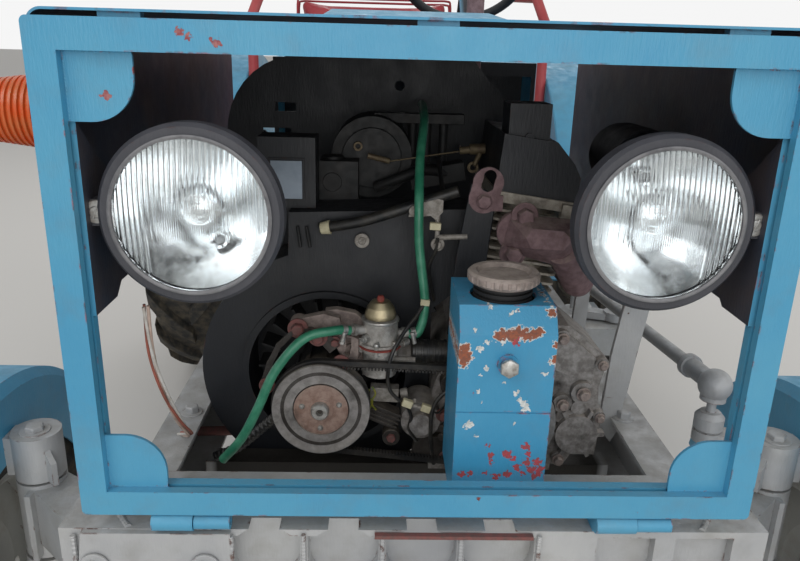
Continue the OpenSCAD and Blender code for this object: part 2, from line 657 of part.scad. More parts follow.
module rear_axle() color(dull_alu) at_nose() {
  hub_x = rear_track_half - 66;
  translate([0, rear_y, rear_spindle_z]) {
    translate([crank_x, 0, 0]) sphere(r = 135);
    translate([-hub_x, 0, 0]) along_x() cylinder(h = 2 * hub_x, d = 110);
    for (side = [-1, 1]) {
      translate([side * (rail_in_x + rail_flange / 2) - 45, -70, -60]) cube([90, 140, 130]);
      translate([side * (hub_x + 6) - 16, 0, 0]) along_x() cylinder(h = 32, d = 150);
    }
    translate([-rear_track_half - 60, 0, 0]) along_x() cylinder(h = 2 * rear_track_half + 120, d = 60);
  }
}

module footboards() color(blue) at_nose() for (side = [0, 1]) mirror([side, 0, 0]) {
  translate([rail_in_x, 1000, rail_z1]) cube([foot_out_x - rail_in_x, 395, 4]);
  translate([foot_out_x - 4, 1000, rail_z1 - 40]) cube([4, 395, 44]);
  // Bracket that holds the rear fender's wall
  translate([rail_in_x + 4, 1495, rail_z1]) cube([fender_in_x - 0.3 - rail_in_x - 4, 50, 6]);
  translate([fender_in_x - 6.3, 1495, rail_z1]) cube([6, 50, 60]);
}

module seat() color(red) at_nose() {
  translate([seat_x - seat_w / 2, 1560, 222.3]) cube([seat_w, 400, 96]);
  translate([seat_x, 1985, 300]) rotate([-seat_lean, 0, 0]) translate([-back_w / 2, -40, 0])
    cube([back_w, 70, back_h]);
}

module seat_frame() color(red) at_nose() {
  grab_x = fender_in_x - 17;
  for (side = [-1, 1]) {
    pipe_run([[side * 334, 1590, rail_z1], [side * 334, 1590, 203], [side * 334, 1850, 203],
      [side * 334, 1850, rail_z1]], 34);
    pipe_run([[side * 345, 1700, rail_z1], [side * 345, 1700, 30], [side * grab_x, 1700, 120],
      [side * grab_x, 1700, 600], [side * (grab_x - 23), 1760, 680], [side * 380, 1900, 690]], 32);
    translate([seat_x + side * back_w / 3, 1985, 300]) rotate([-seat_lean, 0, 0]) translate([0, 44.3, -95])
      cylinder(h = back_h + 10, d = 28);
  }
  translate([-330, 1584, 208]) cube([660, 410, 14]);
}

module dashboard() color(blue) at_nose() {
  difference() {
    translate([-dash_w / 2, 1000, rail_z1]) cube([dash_w, 120, dash_h]);
    translate([-dash_w / 2 + 10, 990, rail_z1 - 10]) cube([dash_w - 20, 120, dash_h - 20]);
    translate([crank_x - 115, 1100, rail_z1 - 1]) cube([230, 30, 170]);
  }
  axis_v = [0, sin(wheel_tilt), cos(wheel_tilt)];
  difference() {
    rod(wheel_c - 480 * axis_v, wheel_c - 60 * axis_v, 46);
    rod(wheel_c - 200 * axis_v, wheel_c - 50 * axis_v, 22 + 2 * run_gap);
  }
}

module steering_box() color(grey_paint) at_nose() {
  shaft = [kingpin_x + drag_v[0], axle_set + drag_v[1]];
  box_z0 = rail_z0 + 10;
  box_z1 = rail_z1 - 20 + drag_v[2] - 5;
  difference() {
    union() {
      translate([rail_out_x, shaft[1] - 50, box_z0])
        cube([shaft[0] + 40 - rail_out_x, 100, box_z1 - box_z0]);
      translate([shaft[0] - 60, shaft[1] + 40, box_z0]) cube([60, 120, box_z1 - box_z0 - 10]);
    }
    translate([shaft[0], shaft[1], rail_z0]) cylinder(h = 200, d = 30 + 2 * run_gap);
  }
  rod([shaft[0] - 25, shaft[1] + 120, box_z1 - 14], [dash_w / 2 + 10, 1022, 112], 22);
  translate([dash_w / 2 + 0.3, 1006, 96]) cube([16, 34, 34]);
}

module rear_fenders() color(blue) at_nose() for (side = [0, 1]) mirror([side, 0, 0])
  translate([fender_in_x, rear_y, rear_spindle_z]) along_x() rotate([0, 0, 120]) {
    // Inner wall and top sheet, swept round the tyre from rear to front
    r = rear_fender_r;
    rotate_extrude(angle = 140) polygon([[r - 260, 0], [r, 0], [r + 4, 4], [r + 4, 300], [r - 30, 300],
      [r - 30, 296], [r, 296], [r, 4], [r - 260, 4]]);
  }

module rear_lamps() color("#7d1f1c") at_nose() for (side = [-1, 1])
  translate([side * (rear_track_half - 10), rear_y, rear_spindle_z]) rotate([-48, 0, 0])
    translate([0, 0, rear_fender_r + 4.3]) cylinder(h = 30, d = 90);

module drawbar() color(dark_steel) at_nose() {
  bar_z = -300;
  pad_z0 = rear_spindle_z - 60;
  difference() {
    translate([-35, rear_y - 30, bar_z]) cube([70, 530, 24]);
    translate([0, rear_y + 460, bar_z - 10]) cylinder(h = 50, d = drawbar_hole_d);
  }
  translate([-370, rear_y - 30, bar_z]) cube([740, 60, 24]);
  for (side = [-1, 1]) translate([side * 345 - 8, rear_y - 30, bar_z]) cube([16, 60, pad_z0 - 0.3 - bar_z]);
}

// Bonnet
module frame_ring(inset, width) translate([0, frame_h / 2]) difference() {
  rounded_rect(frame_w - 2 * inset, frame_h - 2 * inset, 6);
  square([frame_w - 2 * (inset + width), frame_h - 2 * (inset + width)], center = true);
}

module gusset() {
  square([gusset_r, gusset_r * 0.45]);
  square([gusset_r * 0.45, gusset_r]);
  translate([gusset_r * 0.45, gusset_r * 0.45]) circle(gusset_r * 0.55);
}

module bonnet_frame() color(blue) at_nose() {
  front_slab(0, bar_t) frame_ring(0, bar_w);
  front_slab(bar_t, mesh_slot) frame_ring(skin_t, bar_w - skin_t - 14);
  front_slab(bar_t + mesh_slot, strip_t) frame_ring(skin_t, bar_w - skin_t);
  front_slab(bar_t, 4) for (sx = [0, 1], sz = [0, 1])
    translate([0, frame_h / 2]) mirror([sx, 0]) mirror([0, sz])
      translate([frame_w / 2 - bar_w, frame_h / 2 - bar_w]) rotate(180) translate([-14, -14]) gusset();
  // Straps that carry the sheet above the top bar
  for (x = [-300, 0, 300]) translate([x - 20, bar_t + mesh_slot, frame_h - skin_t])
    cube([40, strip_t, skin_gap + skin_t]);
  // Turning half of each hinge
  for (x = hinge_starts) translate([x + hinge_len + 1, hinge_y, hinge_z]) difference() {
    union() {
      along_x() cylinder(h = hinge_len - 6, r = hinge_r);
      cube([hinge_len - 6, hinge_r - 0.5, 1 - hinge_z]);
    }
    translate([-1, 0, 0]) along_x() cylinder(h = hinge_len, d = hinge_pin_d + 2 * run_gap);
  }
}

module arch_outline(w, z0, z1, r) {
  translate([-w / 2, z0]) square([w, z1 - z0 - r]);
  translate([-w / 2 + r, z0]) square([w - 2 * r, z1 - z0]);
  for (side = [-1, 1]) translate([side * (w / 2 - r), z1 - r]) circle(r);
}

module bonnet_skin() color(blue) at_nose() {
  difference() {
    front_slab(bar_t, bonnet_len - bar_t) difference() {
      arch_outline(frame_w, side_low_z, skin_z1, 16);
      arch_outline(frame_w - 2 * skin_t, side_low_z - 1, skin_z1 - skin_t, 16 - skin_t);
    }
  }
  // Raised panel over the engine
  difference() {
    side_slab(-scoop_w / 2, scoop_w)
      polygon([[280, skin_z1 - 1], [760, skin_z1 + scoop_h], [880, skin_z1 + scoop_h], [900, skin_z1 - 1]]);
    side_slab(-scoop_w / 2 + skin_t, scoop_w - 2 * skin_t)
      polygon([[300, skin_z1 - 1], [762, skin_z1 + scoop_h - skin_t], [878, skin_z1 + scoop_h - skin_t],
        [896, skin_z1 - 1]]);
  }
}

module lamp_brackets() color(blue) at_nose() for (side = [0, 1]) mirror([side, 0, 0])
  side_slab(frame_w / 2 - bar_w - 4, 4)
    polygon([[bar_t + mesh_slot, side_low_z + 14], [bar_t + mesh_slot, 440], [60, 400], [105, 372],
      [105, side_low_z + 34], [80, side_low_z + 14]]);

module lamp_shells() color(black) at_nose() for (side = [-1, 1]) translate([side * lamp_x, 18, lamp_z]) {
  r = lamp_d / 2;
  along_y() rotate_extrude() polygon([
    [r - 15, 0], [r - 4, 0], [r, 5], [r, 24], [r - 6, 28], [r - 14, 52], [r - 34, 82],
    [r - 55, lamp_depth + 8],
    [0, lamp_depth + 14], [0, lamp_depth + 8], [r - 58, lamp_depth + 3], [r - 38, 78], [r - 18, 50],
    [r - 13, 26], [r - 13, 10], [r - 15, 8]]);
  lug = frame_w / 2 - bar_w - 4 - lamp_x;
  translate([side * (r - 6 + lug) / 2 - (lug - r + 6) / 2, 12, -14]) cube([lug - r + 6, 22, 28]);
}

module lamp_glasses() color("#dfe6ea") at_nose() for (side = [-1, 1]) translate([side * lamp_x, 18, lamp_z])
  along_y() rotate_extrude() polygon([
    [0, -6], [30, -5], [55, -2], [70, 2], [lamp_d / 2 - 15.3, 4], [lamp_d / 2 - 15.3, 8], [70, 7], [55, 3],
    [30, 0], [0, -1]]);

module indicators() color("#e0652a") at_nose() for (side = [0, 1]) mirror([side, 0, 0])
  translate([frame_w / 2, 100, 440]) along_x() rotate_extrude() {
    d = indicator_d;
    polygon([[0, 0], [d / 2, 0], [d / 2, 14], [d / 2 - 4, 20], [d / 2 - 12, indicator_len - 12],
      [d / 2 - 18, indicator_len - 3], [d / 2 - 28, indicator_len], [0, indicator_len]]);
  }

// Front axle ends. side is 1 on the tractor's left, -1 on its right
module knuckle(side) color(grey_paint) at_nose() translate([side * kingpin_x, axle_set, 0]) {
  block_z1 = housing_z0 - 4;
  translate([0, 0, sleeve_z0]) cylinder(h = rail_z1 - sleeve_z0, d = king_d);
  translate([0, 0, block_z1 - 1]) cylinder(h = sleeve_z0 - block_z1 + 2, d = pin_d);
  translate([0, 0, front_spindle_z - 60]) cylinder(h = block_z1 - front_spindle_z + 60, d = king_d + 4);
  stub = front_track_half - kingpin_x + 30;
  translate([side * stub / 2 - stub / 2, 0, front_spindle_z]) along_x() cylinder(h = stub, d = spindle_d);
  translate([side * 38 - 6, 0, front_spindle_z]) along_x() cylinder(h = 12, d = 110);
  // Tie rod arm, pointing straight back
  translate([-20, 0, tie_z]) cube([40, tie_arm, 14]);
  translate([0, tie_arm, tie_z]) cylinder(h = 14, d = 40);
  translate([0, tie_arm, tie_z - 30]) cylinder(h = 31, d = 12);
  // Web beside the sleeve
  rotate([0, 0, side > 0 ? 225 : -45]) translate([king_d / 2 - 3, -4, 0])
    front_slab(0, 8)
      polygon([[0, sleeve_z0 + 1], [22, sleeve_z0 + 1], [22, sleeve_z0 + 36], [0, sleeve_z0 + 52]]);
  // Bracket to the front fender
  bracket_z0 = sleeve_z0 + 6;
  translate([side * 30 - 9, -20, bracket_z0])
    cube([18, 40, front_spindle_z + front_fender_r - 66 - bracket_z0]);
}

// Flat arm from a steering shaft out to a ball pin
module steering_arm(z) {
  side = 17 * [-arm_v[1], arm_v[0]] / norm(arm_v);
  plan_slab(z, 16)
    polygon([0.1 * arm_v + side, 0.1 * arm_v - side, 0.97 * arm_v - side, 0.97 * arm_v + side]);
  translate([arm_v[0], arm_v[1], z - 1]) cylinder(h = 18, d = 44);
}

module knuckle_left() {
  knuckle(1);
  // Drag link arm with its ball pin
  color(grey_paint) at_nose() translate([kingpin_x, axle_set, 0]) {
    steering_arm(rail_z1 - 20);
    translate([arm_v[0], arm_v[1], rail_z1 - 5]) cylinder(h = drag_ball_z - rail_z1 + 5, d = 14);
    translate([arm_v[0], arm_v[1], rail_z1 - 4]) rotate_extrude()
      polygon([[0, 0], [18, 0], [22, 5], [22, 24], [15, 32], [0, 32]]);
  }
}

module knuckle_right() knuckle(-1);

module front_fender(side) color(blue) at_nose() mirror([side < 0 ? 1 : 0, 0, 0])
  translate([kingpin_x + king_d / 2 + 4, axle_set, front_spindle_z]) along_x() rotate([0, 0, 90]) {
    r = front_fender_r;
    rotate([0, 0, 15]) rotate_extrude(angle = 125) polygon([
      [r - 109, 0], [r - 12, 0], [r + 3, 12], [r + 3, 170], [r - 12, 190], [r - 24, 190], [r - 24, 187],
      [r - 14, 187], [r, 169], [r, 13], [r - 13, 3], [r - 109, 3]]);
  }
module front_fender_left() front_fender(1);
module front_fender_right() front_fender(-1);

// Wheels, drawn about the X axis at their own centre
module front_tyre(side) color(rubber_black) at_nose()
  translate([side * front_track_half, axle_set, front_spindle_z]) along_x() rotate_extrude() {
    r = front_tyre_d / 2;
    w = front_tyre_w / 2;
    b = front_rim_d / 2;
    polygon([[b, -w + 16], [b + 11, -w + 16], [b + 14, -w + 6], [b + 45, -w], [r - 60, -w + 2],
      [r - 30, -w + 10],
      [r - 10, -w + 18], [r - 8, -34], [r - 16, -31], [r - 16, -18], [r - 5, -14], [r, -12], [r, 12],
      [r - 5, 14], [r - 16, 18], [r - 16, 31], [r - 8, 34], [r - 10, w - 18], [r - 30, w - 10],
      [r - 60, w - 2], [b + 45, w], [b + 14, w - 6], [b + 11, w - 16], [b, w - 16]]);
  }

module front_rim(side) color("#9b9c99") at_nose()
  translate([side * front_track_half, axle_set, front_spindle_z]) mirror([side < 0 ? 1 : 0, 0, 0])
  along_x() difference() {
    b = front_rim_d / 2;
    w = front_tyre_w / 2 - 16;
    rotate_extrude() polygon([
      [spindle_d / 2 + run_gap, -40], [42, -40], [46, 0], [90, 12], [120, 2], [b - 14, 10],
      [b - 14, -w + 10],
      [b - 4, -w], [b + 10, -w - 3], [b + 10, -w], [b, -w], [b, w], [b + 10, w], [b + 10, w + 3],
      [b - 4, w], [b - 12, w - 8], [b - 18, 18], [118, 10], [88, 20], [40, 10], [38, 36],
      [spindle_d / 2 + run_gap, 36]]);
    for (k = [0 : 4]) rotate([0, 0, k * 72]) translate([132, 0, -20]) cylinder(h = 60, d = 26);
  }

// Rear tyre as rings of points. Each row is: across the tyre, radius on a lug, radius between lugs, slant
// in degrees
function tyre_rows(r, w, b) = let (low = r - lug_h, seat = (b + bead_gap) / cos(widest_step / 2)) [
  [3, low, low, 0], [10, r, low, 0], [w * 0.55, r - 3, low - 3, 6], [w - 9, r - 15, low - 15, 12],
  [w, r - 62, r - 66, 15], [w - 2, (r + b) / 2 + 20, (r + b) / 2 + 20, 15], [w - 18, b + 26, b + 26, 15],
  [w - 30 - bead_gap, b + 18, b + 18, 15], [w - 30 - bead_gap, seat, seat, 15]];
// Where a lug starts to rise, is up, ends and has gone down, as shares of the pitch
lug_phases = [0, 0.06, 0.31, 0.37];
lug_points = 4 * lug_count;
bead_gap = 0.3;
widest_step = (1 - lug_phases[3]) * 360 / lug_count;
function tyre_ring(row, half) = [for (k = [0 : lug_points - 1])
  let (f = k % 4, radius = f == 1 || f == 2 ? row[1] : row[2],
    a = (floor(k / 4) + lug_phases[f] + (half > 0 ? 0 : 0.5)) * 360 / lug_count + row[3])
  [radius * cos(a), radius * sin(a), half * row[0]]];

module rear_tyre(side) color(rubber_black) at_nose()
  translate([side * rear_track_half, rear_y, rear_spindle_z]) mirror([side < 0 ? 1 : 0, 0, 0]) along_x() {
    rows = tyre_rows(rear_tyre_d / 2, rear_tyre_w / 2, rear_rim_d / 2);
    last = len(rows) - 1;
    rings = 2 * last + 2;
    n = lug_points;
    points = [for (i = [last : -1 : 0]) each tyre_ring(rows[i], -1),
      for (i = [0 : last]) each tyre_ring(rows[i], 1)];
    // The near half's lugs stand half a pitch back, so the strips where the halves meet join points two
    // places apart
    polyhedron(points, [for (i = [0 : rings - 1], k = [0 : n - 1])
      let (j = (i + 1) % rings, s = n + (i == last ? 2 : i == rings - 1 ? -2 : 0), a = i * n + k,
        b = i * n + (k + 1) % n, c = j * n + (k + s) % n, d = j * n + (k + 1 + s) % n)
      each [[a, d, b], [a, c, d]]]);
  }

module rear_rim(side) color("#9b9c99") at_nose()
  translate([side * rear_track_half, rear_y, rear_spindle_z]) mirror([side < 0 ? 1 : 0, 0, 0])
  along_x() difference() {
    b = rear_rim_d / 2;
    w = rear_tyre_w / 2 - 30;
    rotate_extrude() polygon([
      [30 + run_gap, -30], [70, -30], [110, -20], [200, -50], [b - 26, -46], [b - 26, -w + 20], [b - 5, -w],
      [b + 14, -w - 4], [b + 14, -w], [b, -w], [b, w], [b + 14, w], [b + 14, w + 4], [b - 5, w],
      [b - 20, w - 20], [b - 20, -36], [202, -40], [112, -10], [80, -10], [74, 40], [30 + run_gap, 40]]);
    for (k = [0 : 5]) rotate([0, 0, k * 60]) translate([160, 0, -70]) cylinder(h = 80, d = 44);
  }

module front_tyre_left() front_tyre(1);
module front_tyre_right() front_tyre(-1);
module front_rim_left() front_rim(1);
module front_rim_right() front_rim(-1);
module rear_tyre_left() rear_tyre(1);
module rear_tyre_right() rear_tyre(-1);
module rear_rim_left() rear_rim(1);
module rear_rim_right() rear_rim(-1);

// Steering links
module tie_rod() color(grey_paint) at_nose() translate([0, axle_set + tie_arm, tie_z - 18]) difference() {
  union() {
    translate([-kingpin_x + 15, 0, 0]) along_x() cylinder(h = 2 * kingpin_x - 30, d = 24);
    for (side = [-1, 1]) translate([side * kingpin_x, 0, -13]) cylinder(h = 26, d = 36);
  }
  for (side = [-1, 1]) translate([side * kingpin_x, 0, -14]) cylinder(h = 28, d = 12 + 2 * run_gap);
}

module drag_link() color(grey_paint) at_nose()
  translate([kingpin_x + arm_v[0], axle_set + arm_v[1], drag_ball_z]) difference() {
    union() {
      rod([0, 0, 0], drag_v, 23);
      // Ball housings, with a sleeve and a lock nut on the tube next to each
      for (end = [[[0, 0, 0], 1], [drag_v, -1]]) translate(end[0]) {
        rod([0, 0, 0], end[1] * 88 * unit(drag_v), 30);
        rod(end[1] * 70 * unit(drag_v), end[1] * 82 * unit(drag_v), 38);
        sphere(d = 50);
        translate([0, 0, -24]) cylinder(h = 22, d = 38);
      }
    }
    for (p = [[0, 0, 0], drag_v]) translate(p + [0, 0, -30]) cylinder(h = 32, d = 14 + 2 * run_gap);
  }

module drop_arm() color(grey_paint) at_nose() translate([kingpin_x + drag_v[0], axle_set + drag_v[1], 0]) {
  arm_z = rail_z1 - 20 + drag_v[2];
  steering_arm(arm_z);
  translate([arm_v[0], arm_v[1], arm_z + 15]) cylinder(h = drag_ball_z - rail_z1 + 5, d = 14);
  translate([0, 0, arm_z]) cylinder(h = 20, d = 50);
  translate([0, 0, rail_z0 + 20]) cylinder(h = arm_z - rail_z0 - 19, d = 30);
}

module steering_wheel() color(black) at_nose() translate(wheel_c) rotate([-wheel_tilt, 0, 0]) {
  rotate_extrude() translate([178, 0]) circle(d = 26);
  for (k = [0 : 2]) rotate([0, 0, 90 + k * 120]) translate([20, -8, -14]) cube([150, 16, 8]);
  translate([0, 0, -40]) cylinder(h = 44, d = 60);
  translate([0, 0, -140]) cylinder(h = 102, d = 22);
}

frame_rails();
axle_beam();
hinge_seats();
front_tower();
tower_cap();
crankcase();
cylinders();
rocker_cover();
exhaust_elbow();
exhaust_stack();
fan_cowl();
alternator();
crank_pulley();
drive_belt();
fuel_pump();
fuel_hoses();
engine_brackets();
adjusting_arm();
lifting_eye();
air_filter();
control_box();
engine_pipes();
lamp_lead();
bulkhead();
gearbox();
rear_axle();
footboards();
seat();
seat_frame();
dashboard();
steering_box();
rear_fenders();
rear_lamps();
drawbar();
bonnet_frame();
bonnet_skin();
lamp_brackets();
lamp_shells();
lamp_glasses();
indicators();
knuckle_left();
knuckle_right();
front_fender_left();
front_fender_right();
front_tyre_left();
front_tyre_right();
front_rim_left();
front_rim_right();
rear_tyre_left();
rear_tyre_right();
rear_rim_left();
rear_rim_right();
tie_rod();
drag_link();
drop_arm();
steering_wheel();
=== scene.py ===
"""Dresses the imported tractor: finishes, lamps, tyres, hoses and seat, on a lit pale floor."""

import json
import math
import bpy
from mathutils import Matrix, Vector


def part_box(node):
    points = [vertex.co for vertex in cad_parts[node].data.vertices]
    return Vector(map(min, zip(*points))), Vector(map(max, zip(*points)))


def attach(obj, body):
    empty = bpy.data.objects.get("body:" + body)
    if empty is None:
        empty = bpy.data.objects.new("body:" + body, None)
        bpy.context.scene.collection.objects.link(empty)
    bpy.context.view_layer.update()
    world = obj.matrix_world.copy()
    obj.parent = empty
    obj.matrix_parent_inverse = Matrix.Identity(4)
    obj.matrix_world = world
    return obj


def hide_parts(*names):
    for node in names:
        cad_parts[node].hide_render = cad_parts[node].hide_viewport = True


bl_info = {
    "name": "Vintage tractor",
    "version": (1, 0, 0),
    "blender": (4, 5, 0),
    "location": "View3D > Sidebar > Tractor",
    "description": "Finishes, lamps, tyres, hoses and the seat of a small open tractor",
    "category": "Object",
}

import bmesh
import bpy
from bpy.props import FloatProperty, FloatVectorProperty, IntProperty, PointerProperty
from mathutils import Matrix, Vector

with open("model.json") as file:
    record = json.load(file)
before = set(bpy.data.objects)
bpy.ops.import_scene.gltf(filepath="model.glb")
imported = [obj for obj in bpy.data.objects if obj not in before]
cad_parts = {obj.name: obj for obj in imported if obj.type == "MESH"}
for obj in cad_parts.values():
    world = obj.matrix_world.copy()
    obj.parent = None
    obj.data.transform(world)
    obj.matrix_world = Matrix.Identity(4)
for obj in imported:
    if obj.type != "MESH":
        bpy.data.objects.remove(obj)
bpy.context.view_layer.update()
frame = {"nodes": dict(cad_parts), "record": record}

# The nose datum is the bottom centre of the bonnet frame's face, above the hinges.
# Pieces are drawn from it, in millimetres.
HINGE_DROP = 0.021
NOSE = Vector((0.0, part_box("bonnet_frame")[0].y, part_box("bonnet_frame")[0].z + HINGE_DROP))


def srgb(code):
    """Linear colour of a hex code."""
    parts = [int(code[i:i + 2], 16) / 255 for i in (1, 3, 5)]
    return (*[c / 12.92 if c <= 0.04045 else ((c + 0.055) / 1.055) ** 2.4 for c in parts], 1.0)


def add(tree, kind, links=None, **settings):
    """Adds a node with its properties, and gives each input a value or another node's output."""
    made = tree.nodes.new("ShaderNode" + kind)
    for key, value in settings.items():
        setattr(made, key, value)
    for key, value in (links or {}).items():
        if isinstance(value, bpy.types.NodeSocket):
            tree.links.new(value, made.inputs[key])
        else:
            made.inputs[key].default_value = value
    return made


def new_finish(name, **sockets):
    """A material with one Principled shader. Sockets are values set on the shader itself."""
    made = bpy.data.materials.new(name)
    made.use_nodes = True
    shader = made.node_tree.nodes["Principled BSDF"]
    for key, value in sockets.items():
        shader.inputs[key.replace("_", " ").title().replace("Ior", "IOR")].default_value = value
    return made, made.node_tree, shader


def patches(tree, size_mm, low, high, stretch=(1, 1, 1), detail=5.0, shift=0.0):
    """Uneven patches of about the given size, as a mask from 0 to 1."""
    place = add(tree, "TexCoord").outputs["Object"]
    place = add(
        tree, "Mapping", {"Vector": place, "Scale": stretch, "Location": (shift, shift * 0.7, shift * 1.3)})
    noise = add(
        tree, "TexNoise", {"Vector": place.outputs[0], "Scale": 1000 / size_mm, "Detail": detail,
        "Roughness": 0.62})
    return add(tree, "MapRange", {"Value": noise.outputs[0], "From Min": low, "From Max": high}).outputs[0]


def combine(tree, operation, *masks):
    """Masks multiplied, added, or the greatest of them, held between 0 and 1."""
    joined, *others = masks
    for mask in others:
        joined = add(tree, "Math", {0: joined, 1: mask}, operation=operation, use_clamp=True).outputs[0]
    return joined


def coats(tree, ground, *layers):
    """Colours laid over a ground one after another, each where its mask is 1."""
    for mask, over in layers:
        ground = add(tree, "Mix", {0: mask, 6: ground, 7: over}, data_type="RGBA").outputs[2]
    return ground


def total(tree, *terms):
    """The sum of masks, each stretched to run between its own two values."""
    ranged = [
        add(tree, "MapRange", {"Value": mask, "To Min": at_zero, "To Max": at_one}).outputs[0]
        for mask, at_zero, at_one in terms]
    return combine(tree, "ADD", *ranged)


def dress(tree, shader, colour, height=None, distance=0.0005, **inputs):
    """Links a colour, a height mask whose 1 is a distance in metres, and inputs that are sums of masks."""
    tree.links.new(colour, shader.inputs["Base Color"])
    for name, terms in inputs.items():
        tree.links.new(total(tree, *terms), shader.inputs[name.title()])
    if height is not None:
        raised = add(tree, "Bump", {"Height": height, "Distance": distance}).outputs[0]
        tree.links.new(raised, shader.inputs["Normal"])


def edges(tree, radius):
    """Where a surface turns a sharp corner within the radius, as a mask."""
    rounded = add(tree, "Bevel", {"Radius": radius}, samples=4).outputs[0]
    flat = add(tree, "NewGeometry").outputs["Normal"]
    dot = add(tree, "VectorMath", {0: rounded, 1: flat}, operation="DOT_PRODUCT").outputs["Value"]
    return add(tree, "MapRange", {"Value": dot, "From Min": 0.985, "From Max": 0.86}).outputs[0]


def upward(tree, low=0.35, high=0.95):
    """Where a surface faces up, as a mask."""
    normal = add(tree, "TexCoord").outputs["Normal"]
    up = add(tree, "SeparateXYZ", {0: normal}).outputs["Z"]
    return add(tree, "MapRange", {"Value": up, "From Min": low, "From Max": high}).outputs[0]


def inward(tree):
    """Where a bonnet sheet faces the engine, as a mask: its normal points to the bonnet's middle."""
    coordinates = add(tree, "TexCoord").outputs
    middle = (0, NOSE.y, NOSE.z + 0.3)
    away = add(tree, "VectorMath", {0: coordinates["Object"], 1: middle}, operation="SUBTRACT").outputs[0]
    flat = add(tree, "VectorMath", {0: away, 1: (1, 0, 1)}, operation="MULTIPLY").outputs[0]
    dot = add(
        tree, "VectorMath", {0: flat, 1: coordinates["Normal"]}, operation="DOT_PRODUCT").outputs["Value"]
    return add(tree, "MapRange", {"Value": dot, "From Min": 0.0, "From Max": -0.02}).outputs[0]


def past(tree, axis, start, width=0.001):
    """Where a coordinate lies past a place, as a mask. A negative width turns it round."""
    along = add(tree, "SeparateXYZ", {0: add(tree, "TexCoord").outputs["Object"]}).outputs[axis]
    return add(tree, "MapRange", {"Value": along, "From Min": start, "From Max": start + width}).outputs[0]


def ahead(tree):
    """Where a surface faces forward, as a mask."""
    forward = add(tree, "SeparateXYZ", {0: add(tree, "TexCoord").outputs["Normal"]}).outputs["Y"]
    return add(tree, "MapRange", {"Value": forward, "From Min": -0.2, "From Max": -0.5}).outputs[0]


def spots(tree, places):
    """Ragged spots seen from the front, as a mask. Each is x, z and radius in millimetres from the nose."""
    # Depth hardly counts, so a spot also covers a face that slopes away
    flatten = (1, 0.02, 1)
    place = add(tree, "TexCoord").outputs["Object"]
    noise = add(tree, "TexNoise", {"Vector": place, "Scale": 220, "Detail": 4.0}).outputs["Color"]
    shift = add(tree, "VectorMath", {0: noise, 1: (0.5, 0.5, 0.5)}, operation="SUBTRACT").outputs[0]
    shift = add(tree, "VectorMath", {0: shift, 1: (0.016, 0, 0.016)}, operation="MULTIPLY").outputs[0]
    ragged = add(tree, "VectorMath", {0: place, 1: shift}, operation="ADD").outputs[0]
    ragged = add(tree, "VectorMath", {0: ragged, 1: flatten}, operation="MULTIPLY").outputs[0]
    found = []
    for x, z, r in places:
        centre = (NOSE + Vector((x, 60, z)) / 1000) * Vector(flatten)
        away = add(tree, "VectorMath", {0: ragged, 1: centre}, operation="DISTANCE").outputs["Value"]
        found.append(
            add(tree, "MapRange", {"Value": away, "From Min": r / 1000, "From Max": r / 1200}).outputs[0])
    return combine(tree, "MAXIMUM", *found)


# Width of a brush mark, and size of the grit that sand leaves on a casting, in millimetres
BRUSH_MARK, SAND_GRIT = 3.0, 1.6
# How far paint wears back from a sharp edge, in metres
WORN_EDGE = 0.0035
# Paint, faded paint, what shows where it is chipped, and dirt
BLUE = ("#4595bb", "#529dbe", "#99463f", "#6f7574")
ALUMINIUM = ("#a5a7aa", "#b8b9b9", "#6b4a3c", "#77705f")


